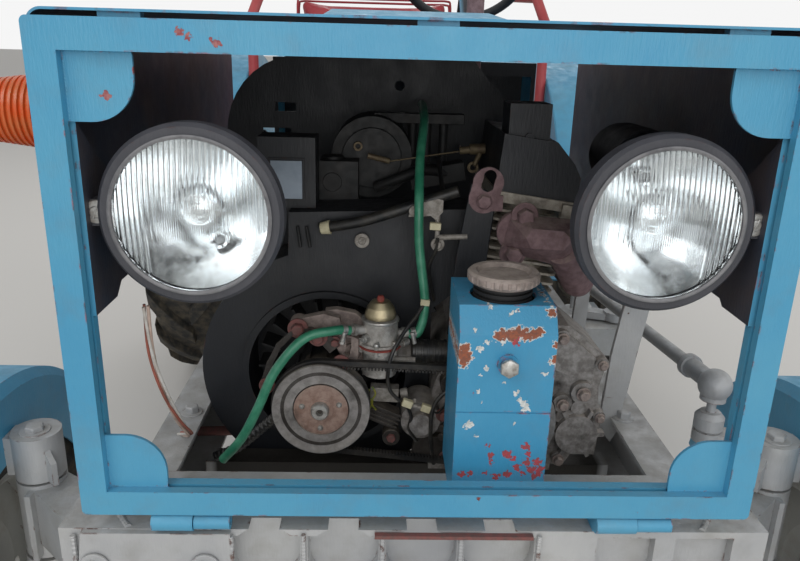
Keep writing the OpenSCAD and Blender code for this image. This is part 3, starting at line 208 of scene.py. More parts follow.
def worn_paint(
        name, paint, faded, chipped, dirt, rough=0.45, metal=0.0, wear=0.5, dust=0.3, chip_mm=30,
        inside=None, oily_below=None, knocks=(), front=None):
    """Old paint on steel: faded in patches, chipped at its edges, with dirt in it and on its upper faces."""
    finish, tree, shader = new_finish(name)
    # Pattern sizes in millimetres: fading 180, grime 60, dust 25, worn edges 22, chips chip_mm, rust 9
    grime = combine(tree, "MULTIPLY", patches(tree, 60, 0.5, 0.78, shift=3.0), 0.55 * dust + 0.12)
    settled = combine(tree, "MULTIPLY", upward(tree), patches(tree, 25, 0.3, 0.7, shift=5.0))
    patchy = patches(tree, 22, 0.62 - 0.2 * wear, 0.7 - 0.2 * wear, shift=9.0)
    flaked = patches(tree, chip_mm, 0.74 - 0.08 * wear, 0.76 - 0.08 * wear, detail=8.0, shift=1.0)
    chip = combine(tree, "MAXIMUM", combine(tree, "MULTIPLY", edges(tree, WORN_EDGE), patchy), flaked)
    rust = coats(tree, srgb(chipped), (patches(tree, 9, 0.42, 0.58, shift=2.0), srgb("#4a2f27")))
    colour = coats(
        tree, srgb(paint), (patches(tree, 180, 0.35, 0.65), srgb(faded)), (grime, srgb(dirt)),
        (combine(tree, "MULTIPLY", settled, dust), srgb(dirt)), (chip, rust))
    for (bare, stained), places in knocks:
        knock = spots(tree, places)
        colour = coats(
            tree, colour, (knock, coats(tree, srgb(bare), (patches(tree, 4, 0.4, 0.6), srgb(stained)))))
        chip = combine(tree, "MAXIMUM", chip, knock)
    # Faces that look forward take the front colour: painted shade
    if front:
        colour = coats(tree, colour, (ahead(tree), srgb(front)))
    # Faces towards the engine take a near-black colour: bare sheet, darkened with painted shade
    if inside:
        bare = coats(tree, srgb(inside), (patches(tree, 90, 0.4, 0.65, shift=8.0), srgb("#453f42")))
        colour = coats(tree, colour, (inward(tree), bare))
    if oily_below:
        oil = combine(
            tree, "MULTIPLY", past(tree, "X", 0.31, -0.01), past(tree, "X", -0.31, 0.01),
            past(tree, "Z", oily_below, -0.02), past(tree, "Y", NOSE.y + 0.6, -0.1))
        colour = coats(tree, colour, (oil, srgb("#26231f")))
    dull = combine(tree, "MAXIMUM", chip, settled)
    strokes = patches(tree, BRUSH_MARK, 0.3, 0.7, stretch=(1, 1, 0.18), detail=3.0)
    inputs = {"roughness": [(dull, rough, 0.85), (patches(tree, 40, 0.3, 0.7), -0.06, 0.08)]}
    if metal:
        inputs["metallic"] = [(dull, metal, 0.0)]
    dress(tree, shader, colour, total(tree, (strokes, 0.0, 0.4), (chip, 0.5, 0.0)), **inputs)
    return finish


# Where enamel is knocked off, as x, z and radius in millimetres from the nose
RIDGE = [
    (87, 202, 6), (94, 204, 6), (102, 203, 7), (110, 205, 7), (119, 203, 7), (128, 204, 6), (135, 207, 4),
    (49, 187, 6), (49, 177, 9), (47, 168, 6), (155, 192, 5), (156, 172, 6), (149, 227, 5)]
FLAKES = [
    (75, 161, 3), (68, 132, 3), (112, 130, 4), (118, 121, 3), (122, 116, 5), (126, 110, 5), (59, 87, 6),
    (72, 117, 2), (69, 72, 2), (114, 89, 2), (96, 142, 2), (144, 155, 3), (68, 152, 2), (78, 232, 3),
    (74, 195, 4), (92, 194, 4), (66, 186, 4), (102, 225, 3), (109, 227, 3), (59, 207, 2)]
PRIMER = [
    (87, 45, 4), (108, 47, 6), (130, 58, 5), (132, 37, 6), (146, 37, 6), (121, 29, 5), (139, 26, 6),
    (110, 20, 5), (96, 16, 5), (53, 18, 5), (64, 20, 3), (82, 20, 3), (143, 17, 5), (89, 33, 3),
    (116, 41, 4), (134, 48, 4), (150, 28, 5), (84, 58, 3), (107, 195, 5), (148, 20, 5), (128, 22, 4),
    (88, 38, 3)]
FRAME_KNOCKS = [
    (-317, 464, 5), (-286, 488, 5), (-286, 480, 4), (-288, 448, 5), (-292, 442, 4), (-240, 523, 4),
    (-233, 520, 4), (-206, 514, 4), (-211, 517, 3), (291, 456, 5), (297, 447, 5)]


# Pale undercoat shows round the rust of the ridge, and in the flakes
UNDERCOAT = ("#d9dcda", "#b9bcb9")
HALO = [(x, z, r + 1.6) for x, z, r in RIDGE]
TOWER_KNOCKS = (
    (UNDERCOAT, HALO), (("#98583f", "#7a4f42"), RIDGE), (UNDERCOAT, FLAKES), (("#b0434c", "#8d4a4c"), PRIMER))


def cast_finish(name, clean, stain, dust, metal, rough, oil=0.4, sooty=None):
    """Sand-cast metal: a gritty skin that has soaked up oil in its hollows and holds pale dust on top."""
    finish, tree, shader = new_finish(name)
    # Pattern sizes in millimetres: stains 12, oil 70, dust 18, lumps 14
    soaked = patches(tree, 70, 0.62 - 0.2 * oil, 0.8 - 0.2 * oil, shift=4.0)
    settled = combine(tree, "MULTIPLY", upward(tree, 0.1, 0.9), patches(tree, 18, 0.3, 0.65, shift=7.0))
    colour = coats(
        tree, srgb(clean), (patches(tree, 12, 0.38, 0.62), srgb(stain)), (soaked, srgb("#2a2622")),
        (settled, srgb(dust)))
    if sooty:
        colour = coats(tree, colour, (past(tree, *sooty), srgb("#1b1b1c")))
    grit = patches(tree, SAND_GRIT, 0.25, 0.75, detail=6.0)
    lumps = patches(tree, 14, 0.3, 0.7, detail=3.0, shift=6.0)
    dress(
        tree, shader, colour, total(tree, (grit, 0, 0.4), (lumps, 0, 0.3)),
        roughness=[(soaked, rough, rough - 0.18)], metallic=[(settled, metal, 0.0)])
    return finish


def pump_finish():
    """The fuel pump: a die-cast zinc body under a dome plated yellow."""
    finish, tree, shader = new_finish("pump_castings")
    dome = past(tree, "Z", NOSE.z + 0.152, 0.0005)
    body = coats(tree, srgb("#b9b6b1"), (patches(tree, 15, 0.4, 0.65), srgb("#85817b")))
    gold = coats(tree, srgb("#b8ab8b"), (patches(tree, 20, 0.45, 0.75), srgb("#968a72")))
    dress(
        tree, shader, coats(tree, body, (dome, gold)), patches(tree, SAND_GRIT, 0.3, 0.7), 0.0003,
        metallic=[(dome, 0.45, 0.85)], roughness=[(dome, 0.5, 0.28)])
    return finish


def tyre_rubber():
    """Weathered tyre rubber: dark grey, dry, with dust in its grain."""
    finish, tree, shader = new_finish("tyre_rubber", specular_ior_level=0.35)
    dust = combine(tree, "MULTIPLY", patches(tree, 30, 0.42, 0.72, shift=3.0), 0.5)
    colour = coats(
        tree, srgb("#242424"), (patches(tree, 90, 0.4, 0.7), srgb("#353432")), (dust, srgb("#7b705d")))
    dress(
        tree, shader, colour, patches(tree, 4, 0.2, 0.8, detail=6.0), 0.0006, roughness=[(dust, 0.62, 0.95)])
    return finish


def belt_rubber():
    """Moulded black rubber, slightly shiny where it is handled."""
    finish, tree, shader = new_finish("belt_rubber", specular_ior_level=0.4)
    colour = coats(tree, srgb("#1b1b1c"), (patches(tree, 35, 0.45, 0.75), srgb("#45413c")))
    dress(tree, shader, colour, roughness=[(patches(tree, 20, 0.3, 0.7), 0.42, 0.7)])
    return finish


def red_vinyl():
    """Embossed vinyl seat cover: a fine leather-like grain, cracked and sun-faded on top."""
    finish, tree, shader = new_finish("red_vinyl", specular_ior_level=0.45)
    scuffs = combine(tree, "MULTIPLY", patches(tree, 40, 0.55, 0.7, shift=2.0), 0.4)
    colour = coats(
        tree, srgb("#93232d"), (patches(tree, 120, 0.35, 0.65), srgb("#a93b41")), (scuffs, srgb("#6d5a52")))
    # Grain of about 2 mm
    grain = add(
        tree, "TexVoronoi", {"Vector": add(tree, "TexCoord").outputs["Object"], "Scale": 500},
        feature="DISTANCE_TO_EDGE")
    dress(
        tree, shader, colour, grain.outputs["Distance"], 0.0006,
        roughness=[(patches(tree, 30, 0.3, 0.7), 0.42, 0.6)])
    return finish


def plain_finish(name, colour, worn, rough, metal=0.0, patch_mm=25, **sockets):
    """A small part's finish: two tones in patches and an uneven shine."""
    finish, tree, shader = new_finish(name, metallic=metal, **sockets)
    mixed = coats(tree, srgb(colour), (patches(tree, patch_mm, 0.42, 0.68), srgb(worn)))
    dress(tree, shader, mixed, roughness=[(patches(tree, 12, 0.3, 0.7, shift=2.0), rough, rough + 0.2)])
    return finish


def lamp_glass():
    """Pressed headlamp glass: clear soda glass with a thin film of dust."""
    finish, tree, shader = new_finish("lamp_glass", ior=1.46, transmission_weight=1.0)
    shader.inputs["Base Color"].default_value = srgb("#f2f6f8")
    film = total(tree, (patches(tree, 30, 0.45, 0.75), 0.02, 0.18))
    tree.links.new(film, shader.inputs["Roughness"])
    return finish


FINISHES = {
    # Brush-applied alkyd enamel on sheet steel: a soft gloss with strokes, chipped to red primer
    "blue_paint": worn_paint("blue_enamel", *BLUE, rough=0.4, wear=0.35, dust=0.25),
    # The same enamel on the bonnet's sheets, whose inner faces are bare, painted near-black as painted shade
    # under the bonnet
    "sheet_blue_shaded_inside": worn_paint("sheet_enamel_shaded_inside", *BLUE, wear=0.35, dust=0.25, inside="#343c4a"),
    # The same enamel knocked off by tools and fuel: to rust on the ridge, to primer at the foot
    "blue_hard": worn_paint(
        "blue_enamel_hard_worn", "#348bb4", "#4194bb", "#a8483f", "#64707a", rough=0.38, wear=0.45,
        dust=0.22, chip_mm=16, knocks=TOWER_KNOCKS),
    # The same enamel on the bonnet's front frame, with the drips and chips of its gussets
    "frame_blue": worn_paint(
        "frame_enamel", *BLUE, rough=0.4, wear=0.3, dust=0.25,
        knocks=((("#8e4a4f", "#a8716f"), FRAME_KNOCKS),)),
    # The same enamel on the dashboard, whose face towards the engine is painted near-black as painted shade
    "dash_blue_shaded_front": worn_paint(
        "dashboard_enamel_shaded_front", *BLUE, rough=0.4, wear=0.35, dust=0.25, front="#23252b"),
    # Silver-grey aluminium paint on steel: a dull pearly grey, rubbed and rust-stained
    "grey_paint": worn_paint(
        "aluminium_paint", *ALUMINIUM, rough=0.5, metal=0.25, wear=0.4, dust=0.4, chip_mm=45),
    # The aluminium paint of the frame, black with oil on the cross members under the engine
    "rails": worn_paint(
        "rail_paint", *ALUMINIUM, rough=0.5, metal=0.25, wear=0.4, dust=0.4, chip_mm=45,
        oily_below=NOSE.z - 0.04),
    # Grey wheel enamel with dried mud
    "wheel_paint": worn_paint(
        "wheel_enamel", "#9a9b98", "#a8a8a3", "#6b4a3c", "#7a6c55", rough=0.55, wear=0.6, dust=0.7),
    # Black stoving enamel on sheet steel, greyed by dust and oil mist
    "black_paint": worn_paint(
        "black_enamel", "#14161a", "#1b1e24", "#2f2825", "#2f2f2f", rough=0.5, wear=0.25, dust=0.25),
    # Black lamp enamel gone chalky: a charcoal with a bluish bloom
    "lamp_black": worn_paint(
        "lamp_enamel", "#303137", "#3d3e44", "#4b4144", "#58575d", rough=0.5, wear=0.3, dust=0.3),
    # Red enamel on tube, faded by the sun
    "red_paint": worn_paint(
        "red_enamel", "#a02c33", "#b34a4c", "#5b3a33", "#7a6c60", rough=0.42, wear=0.45, dust=0.25),
    # Sand-cast aluminium, oxidised to a soft grey under grime
    "cast_aluminium": cast_finish("cast_aluminium", "#857f78", "#5f5953", "#958d80", 0.4, 0.62),
    # Cast crankcase under years of oil and dust: a dark, blotched grey
    "oily_cast": cast_finish("oily_cast", "#9e9a97", "#736e6a", "#aaa299", 0.2, 0.65, oil=0.4),
    # Cast brackets round the belt, brown-grey with baked dust
    "bracket_cast": cast_finish("bracket_cast", "#9d8f88", "#786b66", "#aea196", 0.15, 0.68, oil=0.2),
    # The filler cap: dusty brown-grey metal above, on a black rubber neck
    "cap": cast_finish(
        "cap_metal", "#a39690", "#837872", "#b0a49a", 0.15, 0.7, oil=0.05,
        sooty=("Z", NOSE.z + 0.247, -0.001)),
    # The belt-driven fan and generator: oily iron, and black where the fan runs in its cowl
    "alternator": cast_finish(
        "alternator_iron", "#4d4946", "#39342f", "#6d655a", 0.3, 0.55, oil=0.5,
        sooty=("Y", NOSE.y + 0.285, 0.01)),
    # Cast aluminium fins, baked to a pale cream grey
    "fins": cast_finish("fin_aluminium", "#b3aca0", "#8d857a", "#c2baac", 0.25, 0.6, oil=0.15),
    # Cast iron and steel under old oil and dust
    "dark_steel": cast_finish("dark_iron", "#433f3c", "#332e2a", "#6d655a", 0.3, 0.55, oil=0.5),
    # Turned iron with a film of road dust: dark grey with pale specks
    "dusty_iron": cast_finish("dusty_iron", "#96928f", "#7c7875", "#b3aba0", 0.15, 0.7, oil=0.1),
    # A steel disc rusted evenly and dusted over: a warm brown-grey
    "rust_dust": cast_finish("rust_dust", "#a0887c", "#866b5f", "#ad9e91", 0.05, 0.8, oil=0.02),
    # Cast iron burnt and rusted by heat: a purple-brown skin
    "rusty_steel": cast_finish("rusted_iron", "#8a7174", "#71595b", "#a39189", 0.1, 0.72, oil=0.05),
    "pump": pump_finish(),
    "tyre_rubber": tyre_rubber(),
    "belt_rubber": belt_rubber(),
    "red_vinyl": red_vinyl(),
    "lamp_glass": lamp_glass(),
    # Acrylic lenses: saturated and glossy, dulled by scratches
    "orange_lens": plain_finish("orange_acrylic", "#d9541d", "#c8622f", 0.22, subsurface_weight=0.2),
    "red_lens": plain_finish("red_acrylic", "#8a1a17", "#6f2420", 0.22),
    # Clear PVC fuel hose with a green braid: soft shine
    "green_hose": plain_finish("green_hose", "#2d7c5f", "#4f9a7b", 0.28, patch_mm=30),
    # Zinc plating passivated yellow: a thin golden sheen over dull metal
    "brass": plain_finish("yellow_zinc", "#a99468", "#8d8272", 0.32, metal=0.75),
    # Brass rod and pins gone brown
    "dull_brass": plain_finish("dull_brass", "#746850", "#594a3b", 0.5, metal=0.4, patch_mm=12),
    # Bright zinc on small hardware, gone dull in patches
    "bright_zinc": plain_finish("bright_zinc", "#b7b6b2", "#8a847d", 0.35, metal=0.7, patch_mm=8),
    # Vacuum-coated reflector: a clean mirror with a faint bloom
    "chrome": plain_finish("reflector_chrome", "#f2f4f5", "#dcdcda", 0.05, metal=1.0, patch_mm=30),
    # Clear bulb glass, seen against the reflector
    "bulb_glass": plain_finish("bulb_glass", "#d4d6d6", "#b3b5b6", 0.12),
    # Lamp seal of grey rubber, dry and matt
    "grey_rubber": plain_finish("grey_rubber", "#7d7d7f", "#5d5d60", 0.55, patch_mm=20),
    # Extruded rubber and PVC, shiny with oil
    "shiny_rubber": plain_finish("shiny_rubber", "#1c1d1e", "#3b3833", 0.3, patch_mm=20),
    # PVC wire insulation, its colours faded: a soft shine
    "lead_sleeve": plain_finish("cream_sleeve", "#d3bcae", "#b49a8c", 0.5),
    "pink_wire": plain_finish("pink_wire", "#a8604f", "#8a5548", 0.45),
    "white_wire": plain_finish("white_wire", "#dcd8d2", "#b8aea2", 0.45),
    "yellow_wire": plain_finish("yellow_wire", "#8f8a2e", "#4c6a2c", 0.4, patch_mm=6),
    # Nylon connector blocks, yellowed
    "nylon": plain_finish("cream_nylon", "#d8cfae", "#b3a988", 0.45),
    # Brushed aluminium plate: an even silver grey
    "silver_plate": plain_finish("brushed_plate", "#8e99a5", "#7b8691", 0.36, metal=0.5, patch_mm=60),
    # Small die castings and ceramic bodies with an oily bloom
    "pale_cast": plain_finish("pale_casting", "#9d9891", "#6e675f", 0.5, metal=0.2, patch_mm=10),
    "black_iron": plain_finish("oily_black_iron", "#141617", "#211f1e", 0.5, metal=0.1, patch_mm=25),
    # Bolt heads daubed with red primer, worn through to rust
    "rust_red": plain_finish("primer_and_rust", "#7a4c48", "#5d4a46", 0.7, patch_mm=7),
    # Red fibre gasket, oil-stained
    "red_primer": plain_finish("red_gasket", "#8c3c33", "#6b3a33", 0.7, patch_mm=8),
    # Printed dial faces: flat black and ivory
    "dial_black": plain_finish("dial_black", "#17181a", "#202123", 0.6),
    "dial_white": plain_finish("dial_white", "#d8d8d2", "#c3c2ba", 0.6),
}
NODE_FINISH = {
    "front_tower": "blue_hard", "tower_cap": "cap", "bonnet_frame": "frame_blue", "dashboard": "dash_blue_shaded_front",
    "bonnet_skin": "sheet_blue_shaded_inside", "lamp_brackets": "sheet_blue_shaded_inside", "lamp_shells": "lamp_black",
    "cylinders": "fins", "fuel_pump": "pump", "exhaust_elbow": "rusty_steel",
    "engine_brackets": "bracket_cast", "alternator": "alternator", "crank_pulley": "dusty_iron",
    "frame_rails": "rails", "crankcase": "oily_cast"}


SIDES = ((1, "left"), (-1, "right"))


def aim(place, towards=(0, -1, 0), roll=0.0):
    """Puts a shape that is drawn up +Z at a place, pointing along a direction."""
    turn = Vector(towards).to_track_quat("Z", "Y").to_matrix().to_4x4()
    return Matrix.Translation(place) @ turn @ Matrix.Rotation(roll, 4, "Z")


def rod(bm, a, b, d, sides=24, d_end=None):
    """A round bar, or a cone, between two places."""
    a, b = Vector(a), Vector(b)
    lift = Matrix.Translation((0, 0, (b - a).length / 2))
    bmesh.ops.create_cone(
        bm, cap_ends=True, segments=sides, radius1=d / 2, radius2=(d if d_end is None else d_end) / 2,
        depth=(b - a).length, matrix=aim(a, b - a) @ lift)


def block(bm, size, place, turn=Matrix()):
    """A box of the given size about a place."""
    bmesh.ops.create_cube(bm, size=1, matrix=Matrix.Translation(place) @ turn @ Matrix.Diagonal((*size, 1)))


def ball(bm, place, d):
    """A round knob."""
    bmesh.ops.create_icosphere(bm, subdivisions=3, radius=d / 2, matrix=Matrix.Translation(place))


def turned(bm, outline, place, towards=(0, -1, 0), steps=48, closed=False):
    """Spins an outline of (radius, height) about a line that leaves a place in a direction."""
    before = set(bm.verts)
    verts = [bm.verts.new((r, 0, h)) for r, h in outline]
    ends = verts + verts[:1] if closed else verts
    lines = [bm.edges.new(pair) for pair in zip(ends, ends[1:])]
    bmesh.ops.spin(
        bm, geom=verts + lines, axis=(0, 0, 1), cent=(0, 0, 0), steps=steps, angle=math.tau, use_merge=True)
    made = [v for v in bm.verts if v not in before]
    bmesh.ops.remove_doubles(bm, verts=made, dist=1e-4)
    made = [v for v in bm.verts if v not in before]
    bmesh.ops.transform(bm, matrix=aim(place, towards), verts=made)


def plate(bm, outline, y, thick, matrix=Matrix()):
    """A flat plate from a front outline of (x, z), from y back."""
    verts = [bm.verts.new((x, y, z)) for x, z in outline]
    face = bmesh.ops.contextual_create(bm, geom=verts)["faces"]
    made = bmesh.ops.extrude_face_region(bm, geom=face)["geom"]
    far = [v for v in made if isinstance(v, bmesh.types.BMVert)]
    bmesh.ops.translate(bm, verts=far, vec=(0, thick, 0))
    bmesh.ops.transform(bm, matrix=matrix, verts=verts + far)


def smooth_route(points, per):
    """Points along a smooth curve through the given ones."""
    points = [Vector(p) for p in points]
    route = []
    for i in range(len(points) - 1):
        a, b, c = points[max(i - 1, 0)], points[i], points[i + 1]
        d = points[min(i + 2, len(points) - 1)]
        for k in range(per):
            t = k / per
            square, cube = 2 * a - 5 * b + 4 * c - d, 3 * b - a - 3 * c + d
            route.append(0.5 * (2 * b + (c - a) * t + square * t * t + cube * t ** 3))
    return route + [points[-1]]


def sweep(bm, points, d, sides=12, per=6, ribs=0.0):
    """A hose or wire along a smooth curve. Ribs narrow every other pair of rings by that share."""
    route = smooth_route(points, per)
    heading = (route[1] - route[0]).normalized()
    ring = bmesh.ops.create_circle(
        bm, cap_ends=True, segments=sides, radius=d / 2, matrix=aim(route[0], heading))["verts"]
    face = ring[0].link_faces[0]
    for i in range(1, len(route)):
        direction = (route[min(i + 1, len(route) - 1)] - route[i - 1]).normalized()
        made = bmesh.ops.extrude_face_region(bm, geom=[face])["geom"]
        verts = [g for g in made if isinstance(g, bmesh.types.BMVert)]
        face = [g for g in made if isinstance(g, bmesh.types.BMFace)][0]
        bmesh.ops.translate(bm, verts=verts, vec=route[i] - route[i - 1])
        turn = heading.rotation_difference(direction).to_matrix()
        bmesh.ops.rotate(bm, verts=verts, cent=route[i], matrix=turn)
        if ribs:
            share = 1 - ribs if i % 4 == 2 else 1 / (1 - ribs) if i % 4 == 0 else 1
            bmesh.ops.scale(bm, verts=verts, vec=(share,) * 3, space=Matrix.Translation(-route[i]))
        heading = direction


def bolt(bm, place, across=13, towards=(0, -1, 0), head=None, washer=1.8, turn=0.3, stub=0.0):
    """A hexagon head with a chamfered top on its washer, sunk 1 mm in what it holds."""
    towards = Vector(towards).normalized()
    head = across * 0.6 if head is None else head
    foot = Vector(place) - towards
    rod(bm, foot, foot + towards * 3, across * washer)
    seat = foot + towards * 2.5
    corner = across / math.cos(math.pi / 6) / 2
    at = aim(seat, towards, turn)
    for low, high, r1, r2 in ((0, head * 0.8, corner, corner), (head * 0.8, head, corner, corner * 0.86)):
        bmesh.ops.create_cone(
            bm, cap_ends=True, segments=6, radius1=r1, radius2=r2, depth=high - low,
            matrix=at @ Matrix.Translation((0, 0, (low + high) / 2)))
    if stub:
        rod(bm, seat, seat + towards * (head + stub), across * 0.5, sides=16)


def screw(bm, place, d=8, towards=(0, -1, 0), turn=0.4):
    """A round slotted screw head."""
    towards = Vector(towards).normalized()
    foot = Vector(place) - towards
    turned(bm, [(0, 0), (d / 2, 0), (d / 2, 2), (d * 0.42, 3.2), (0, 3.6)], foot, towards, steps=20)
    block(bm, (d * 1.1, d * 0.16, 1.2), (0, 0, 0), aim(foot + towards * 3.6, towards, turn))


def weld(bm, points, d=6):
    """A rippled weld bead along a line."""
    span = (Vector(points[1]) - Vector(points[0])).length
    sweep(bm, points, d, sides=8, per=max(4, int(span / (d * 0.22))), ribs=0.14)


def new_piece(name, bm, finish, body="chassis", replaces=(), bevel=0.0, sharp=40):
    """Makes a piece of what was drawn in millimetres from the nose. It rides on a body."""
    bmesh.ops.recalc_face_normals(bm, faces=bm.faces)
    bm.transform(Matrix.Translation(NOSE) @ Matrix.Diagonal((0.001, 0.001, 0.001, 1)))
    mesh = bpy.data.meshes.new(name)
    bm.to_mesh(mesh)
    bm.free()
    mesh.materials.append(FINISHES[finish])
    mesh.shade_smooth()
    mesh.set_sharp_from_angle(angle=math.radians(sharp))
    piece = bpy.data.objects.new(name, mesh)
    bpy.context.scene.collection.objects.link(piece)
    if bevel:
        rounding = piece.modifiers.new("rounded_edges", "BEVEL")
        rounding.width = bevel / 1000
        rounding.segments = 2
        rounding.limit_method = "ANGLE"
        rounding.angle_limit = math.radians(sharp)
    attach(piece, body)
    if replaces:
        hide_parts(*replaces)
    return piece


def dress_frame():
    """Gives each CAD node the finish of its material slot."""
    slots = {s["node"]: s["material_slot"] for s in frame["record"]["subparts"]}
    for name, piece in frame["nodes"].items():
        finish = FINISHES[NODE_FINISH.get(name, slots[name])]
        for place in piece.material_slots:
            place.material = finish


class TractorStage(bpy.types.PropertyGroup):
    """Camera, floor and light."""
    floor_size: FloatProperty(
        name="Floor size", description="Side of the square floor", default=160.0, unit="LENGTH")
    floor_colour: FloatVectorProperty(
        name="Floor colour", description="Colour of the pale floor", default=srgb("#e2e0dc")[:3],
        subtype="COLOR", size=3)
    focal_px: FloatProperty(
        name="Focal length", description="Focal length as pixels of an 800 pixel wide picture", default=717.0)
    camera_place: FloatVectorProperty(
        name="Camera place", description="The camera from the nose datum", default=(-0.0532, -0.7, 0.5145),
        unit="LENGTH")
    turn: FloatVectorProperty(
        name="Camera turn", description="Yaw to the right, pitch down and roll",
        default=[math.radians(a) for a in (1.84, 17.93, 1.58)], subtype="EULER")


# Width of the picture that the focal length is given for, in pixels
PICTURE_W = 800


def make_camera(props):
    """The photograph's camera, from its place and its yaw, pitch and roll."""
    yaw, pitch, roll = props.turn
    forward = Vector((math.sin(yaw) * math.cos(pitch), math.cos(yaw) * math.cos(pitch), -math.sin(pitch)))
    level_right = Vector((math.cos(yaw), -math.sin(yaw), 0))
    level_up = level_right.cross(forward)
    right = math.cos(roll) * level_right + math.sin(roll) * level_up
    up = math.cos(roll) * level_up - math.sin(roll) * level_right
    data = bpy.data.cameras.new("camera")
    data.sensor_width = 36.0
    data.lens = props.focal_px / PICTURE_W * data.sensor_width
    data.clip_start, data.clip_end = 0.05, 200
    camera = bpy.data.objects.new("camera", data)
    camera.matrix_world = Matrix((right, up, -forward)).transposed().to_4x4()
    camera.location = Vector(props.camera_place) + NOSE
    bpy.context.scene.collection.objects.link(camera)
    bpy.context.scene.camera = camera


class TRACTOR_OT_stage(bpy.types.Operator):
    """Makes the camera, the pale floor, the lamps and the white surroundings"""
    bl_idname = "tractor.stage"
    bl_label = "Stage"

    def execute(self, context):
        props = context.scene.tractor_stage
        make_camera(props)
        bm = bmesh.new()
        bmesh.ops.create_grid(bm, size=props.floor_size / 2)
        floor = bpy.data.objects.new("floor", bpy.data.meshes.new("floor"))
        bm.to_mesh(floor.data)
        bm.free()
        finish, tree, shader = new_finish("pale_floor", roughness=0.9)
        shader.inputs["Base Color"].default_value = (*props.floor_colour, 1)
        floor.data.materials.append(finish)
        context.scene.collection.objects.link(floor)
        for name, place, size, power in (
                ("key_lamp", (-3.5, -5.0, 6.0), 4.0, 140), ("fill_lamp", (5.0, -3.0, 4.0), 4.0, 65),
                ("back_lamp", (1.0, 6.0, 5.0), 4.0, 100), ("front_lamp", (0.3, -6.5, 2.1), 4.0, 100)):
            data = bpy.data.lights.new(name, "AREA")
            data.size, data.energy = size, power
            lamp = bpy.data.objects.new(name, data)
            lamp.location = place
            lamp.rotation_euler = (Vector((0, -0.2, 0.7)) - Vector(place)).to_track_quat("-Z", "Y").to_euler()
            context.scene.collection.objects.link(lamp)
        world = bpy.data.worlds.new("studio")
        world.use_nodes = True
        context.scene.world = world
        tree = world.node_tree
        rays = add(tree, "LightPath").outputs
        seen = combine(
            tree, "MAXIMUM", *[rays[f"Is {kind} Ray"] for kind in ("Camera", "Glossy", "Transmission")])
        background = tree.nodes["Background"]
        background.inputs["Color"].default_value = (1, 1, 1, 1)
        tree.links.new(total(tree, (seen, 0.38, 0.92)), background.inputs["Strength"])
        context.scene.view_settings.view_transform = "Standard"
        return {"FINISHED"}


class TRACTOR_OT_finishes(bpy.types.Operator):
    """Gives every CAD piece its finish"""
    bl_idname = "tractor.finishes"
    bl_label = "Finishes"

    def execute(self, context):
        dress_frame()
        return {"FINISHED"}


class TractorLamps(bpy.types.PropertyGroup):
    """Headlamps and side indicators, in millimetres from the nose."""
    centre: FloatVectorProperty(
        name="Centre", description="Centre of the left headlamp's rim", default=(246, 18, 345))
    glass_r: FloatProperty(
        name="Glass radius", description="Radius of the fluted glass", default=79.6)
    flute: FloatProperty(
        name="Flute", description="Pitch of the glass's coarse flutes", default=5.6)


# The reflector is a parabola: its depth behind the rim is BOWL_DEPTH less radius squared over BOWL_CURVE
BOWL_DEPTH, BOWL_CURVE = 74, 106.7


def lamp_glass_piece(side, hand, props):
    """Pressed glass: coarse flutes above and at the side, finer ones in a middle band, plain below."""
    bm = bmesh.new()
    r, (x0, y0, z0) = props.glass_r, props.centre
    bmesh.ops.create_grid(bm, x_segments=200, y_segments=24, size=1)
    for v in bm.verts:
        across, up = v.co.x * r, v.co.y * math.sqrt(max(0.0, 1 - v.co.x ** 2)) * r
        coarse = abs(math.sin(math.pi * across / props.flute))
        fine = abs(math.sin(math.pi * across / (props.flute * 0.4)))
        if up > 19:
            depth = 1.1 * coarse
        elif up > -21:
            depth = 0.45 * fine if abs(across) < 34 else 1.0 * coarse
        else:
            depth = 1.0 * coarse if across * side > 44 else 0.0
        dome = 9.5 * (1 - (across ** 2 + up ** 2) / r ** 2)
        v.co = Vector((side * x0 + across, y0 + 4 - dome + depth, z0 + up))
    bmesh.ops.remove_doubles(bm, verts=bm.verts, dist=0.02)
    bmesh.ops.recalc_face_normals(bm, faces=bm.faces)
    bmesh.ops.solidify(bm, geom=bm.faces[:], thickness=2.4)
    new_piece(f"lamp_glass_{hand}", bm, "lamp_glass", "bonnet", ["lamp_glasses"], sharp=70)


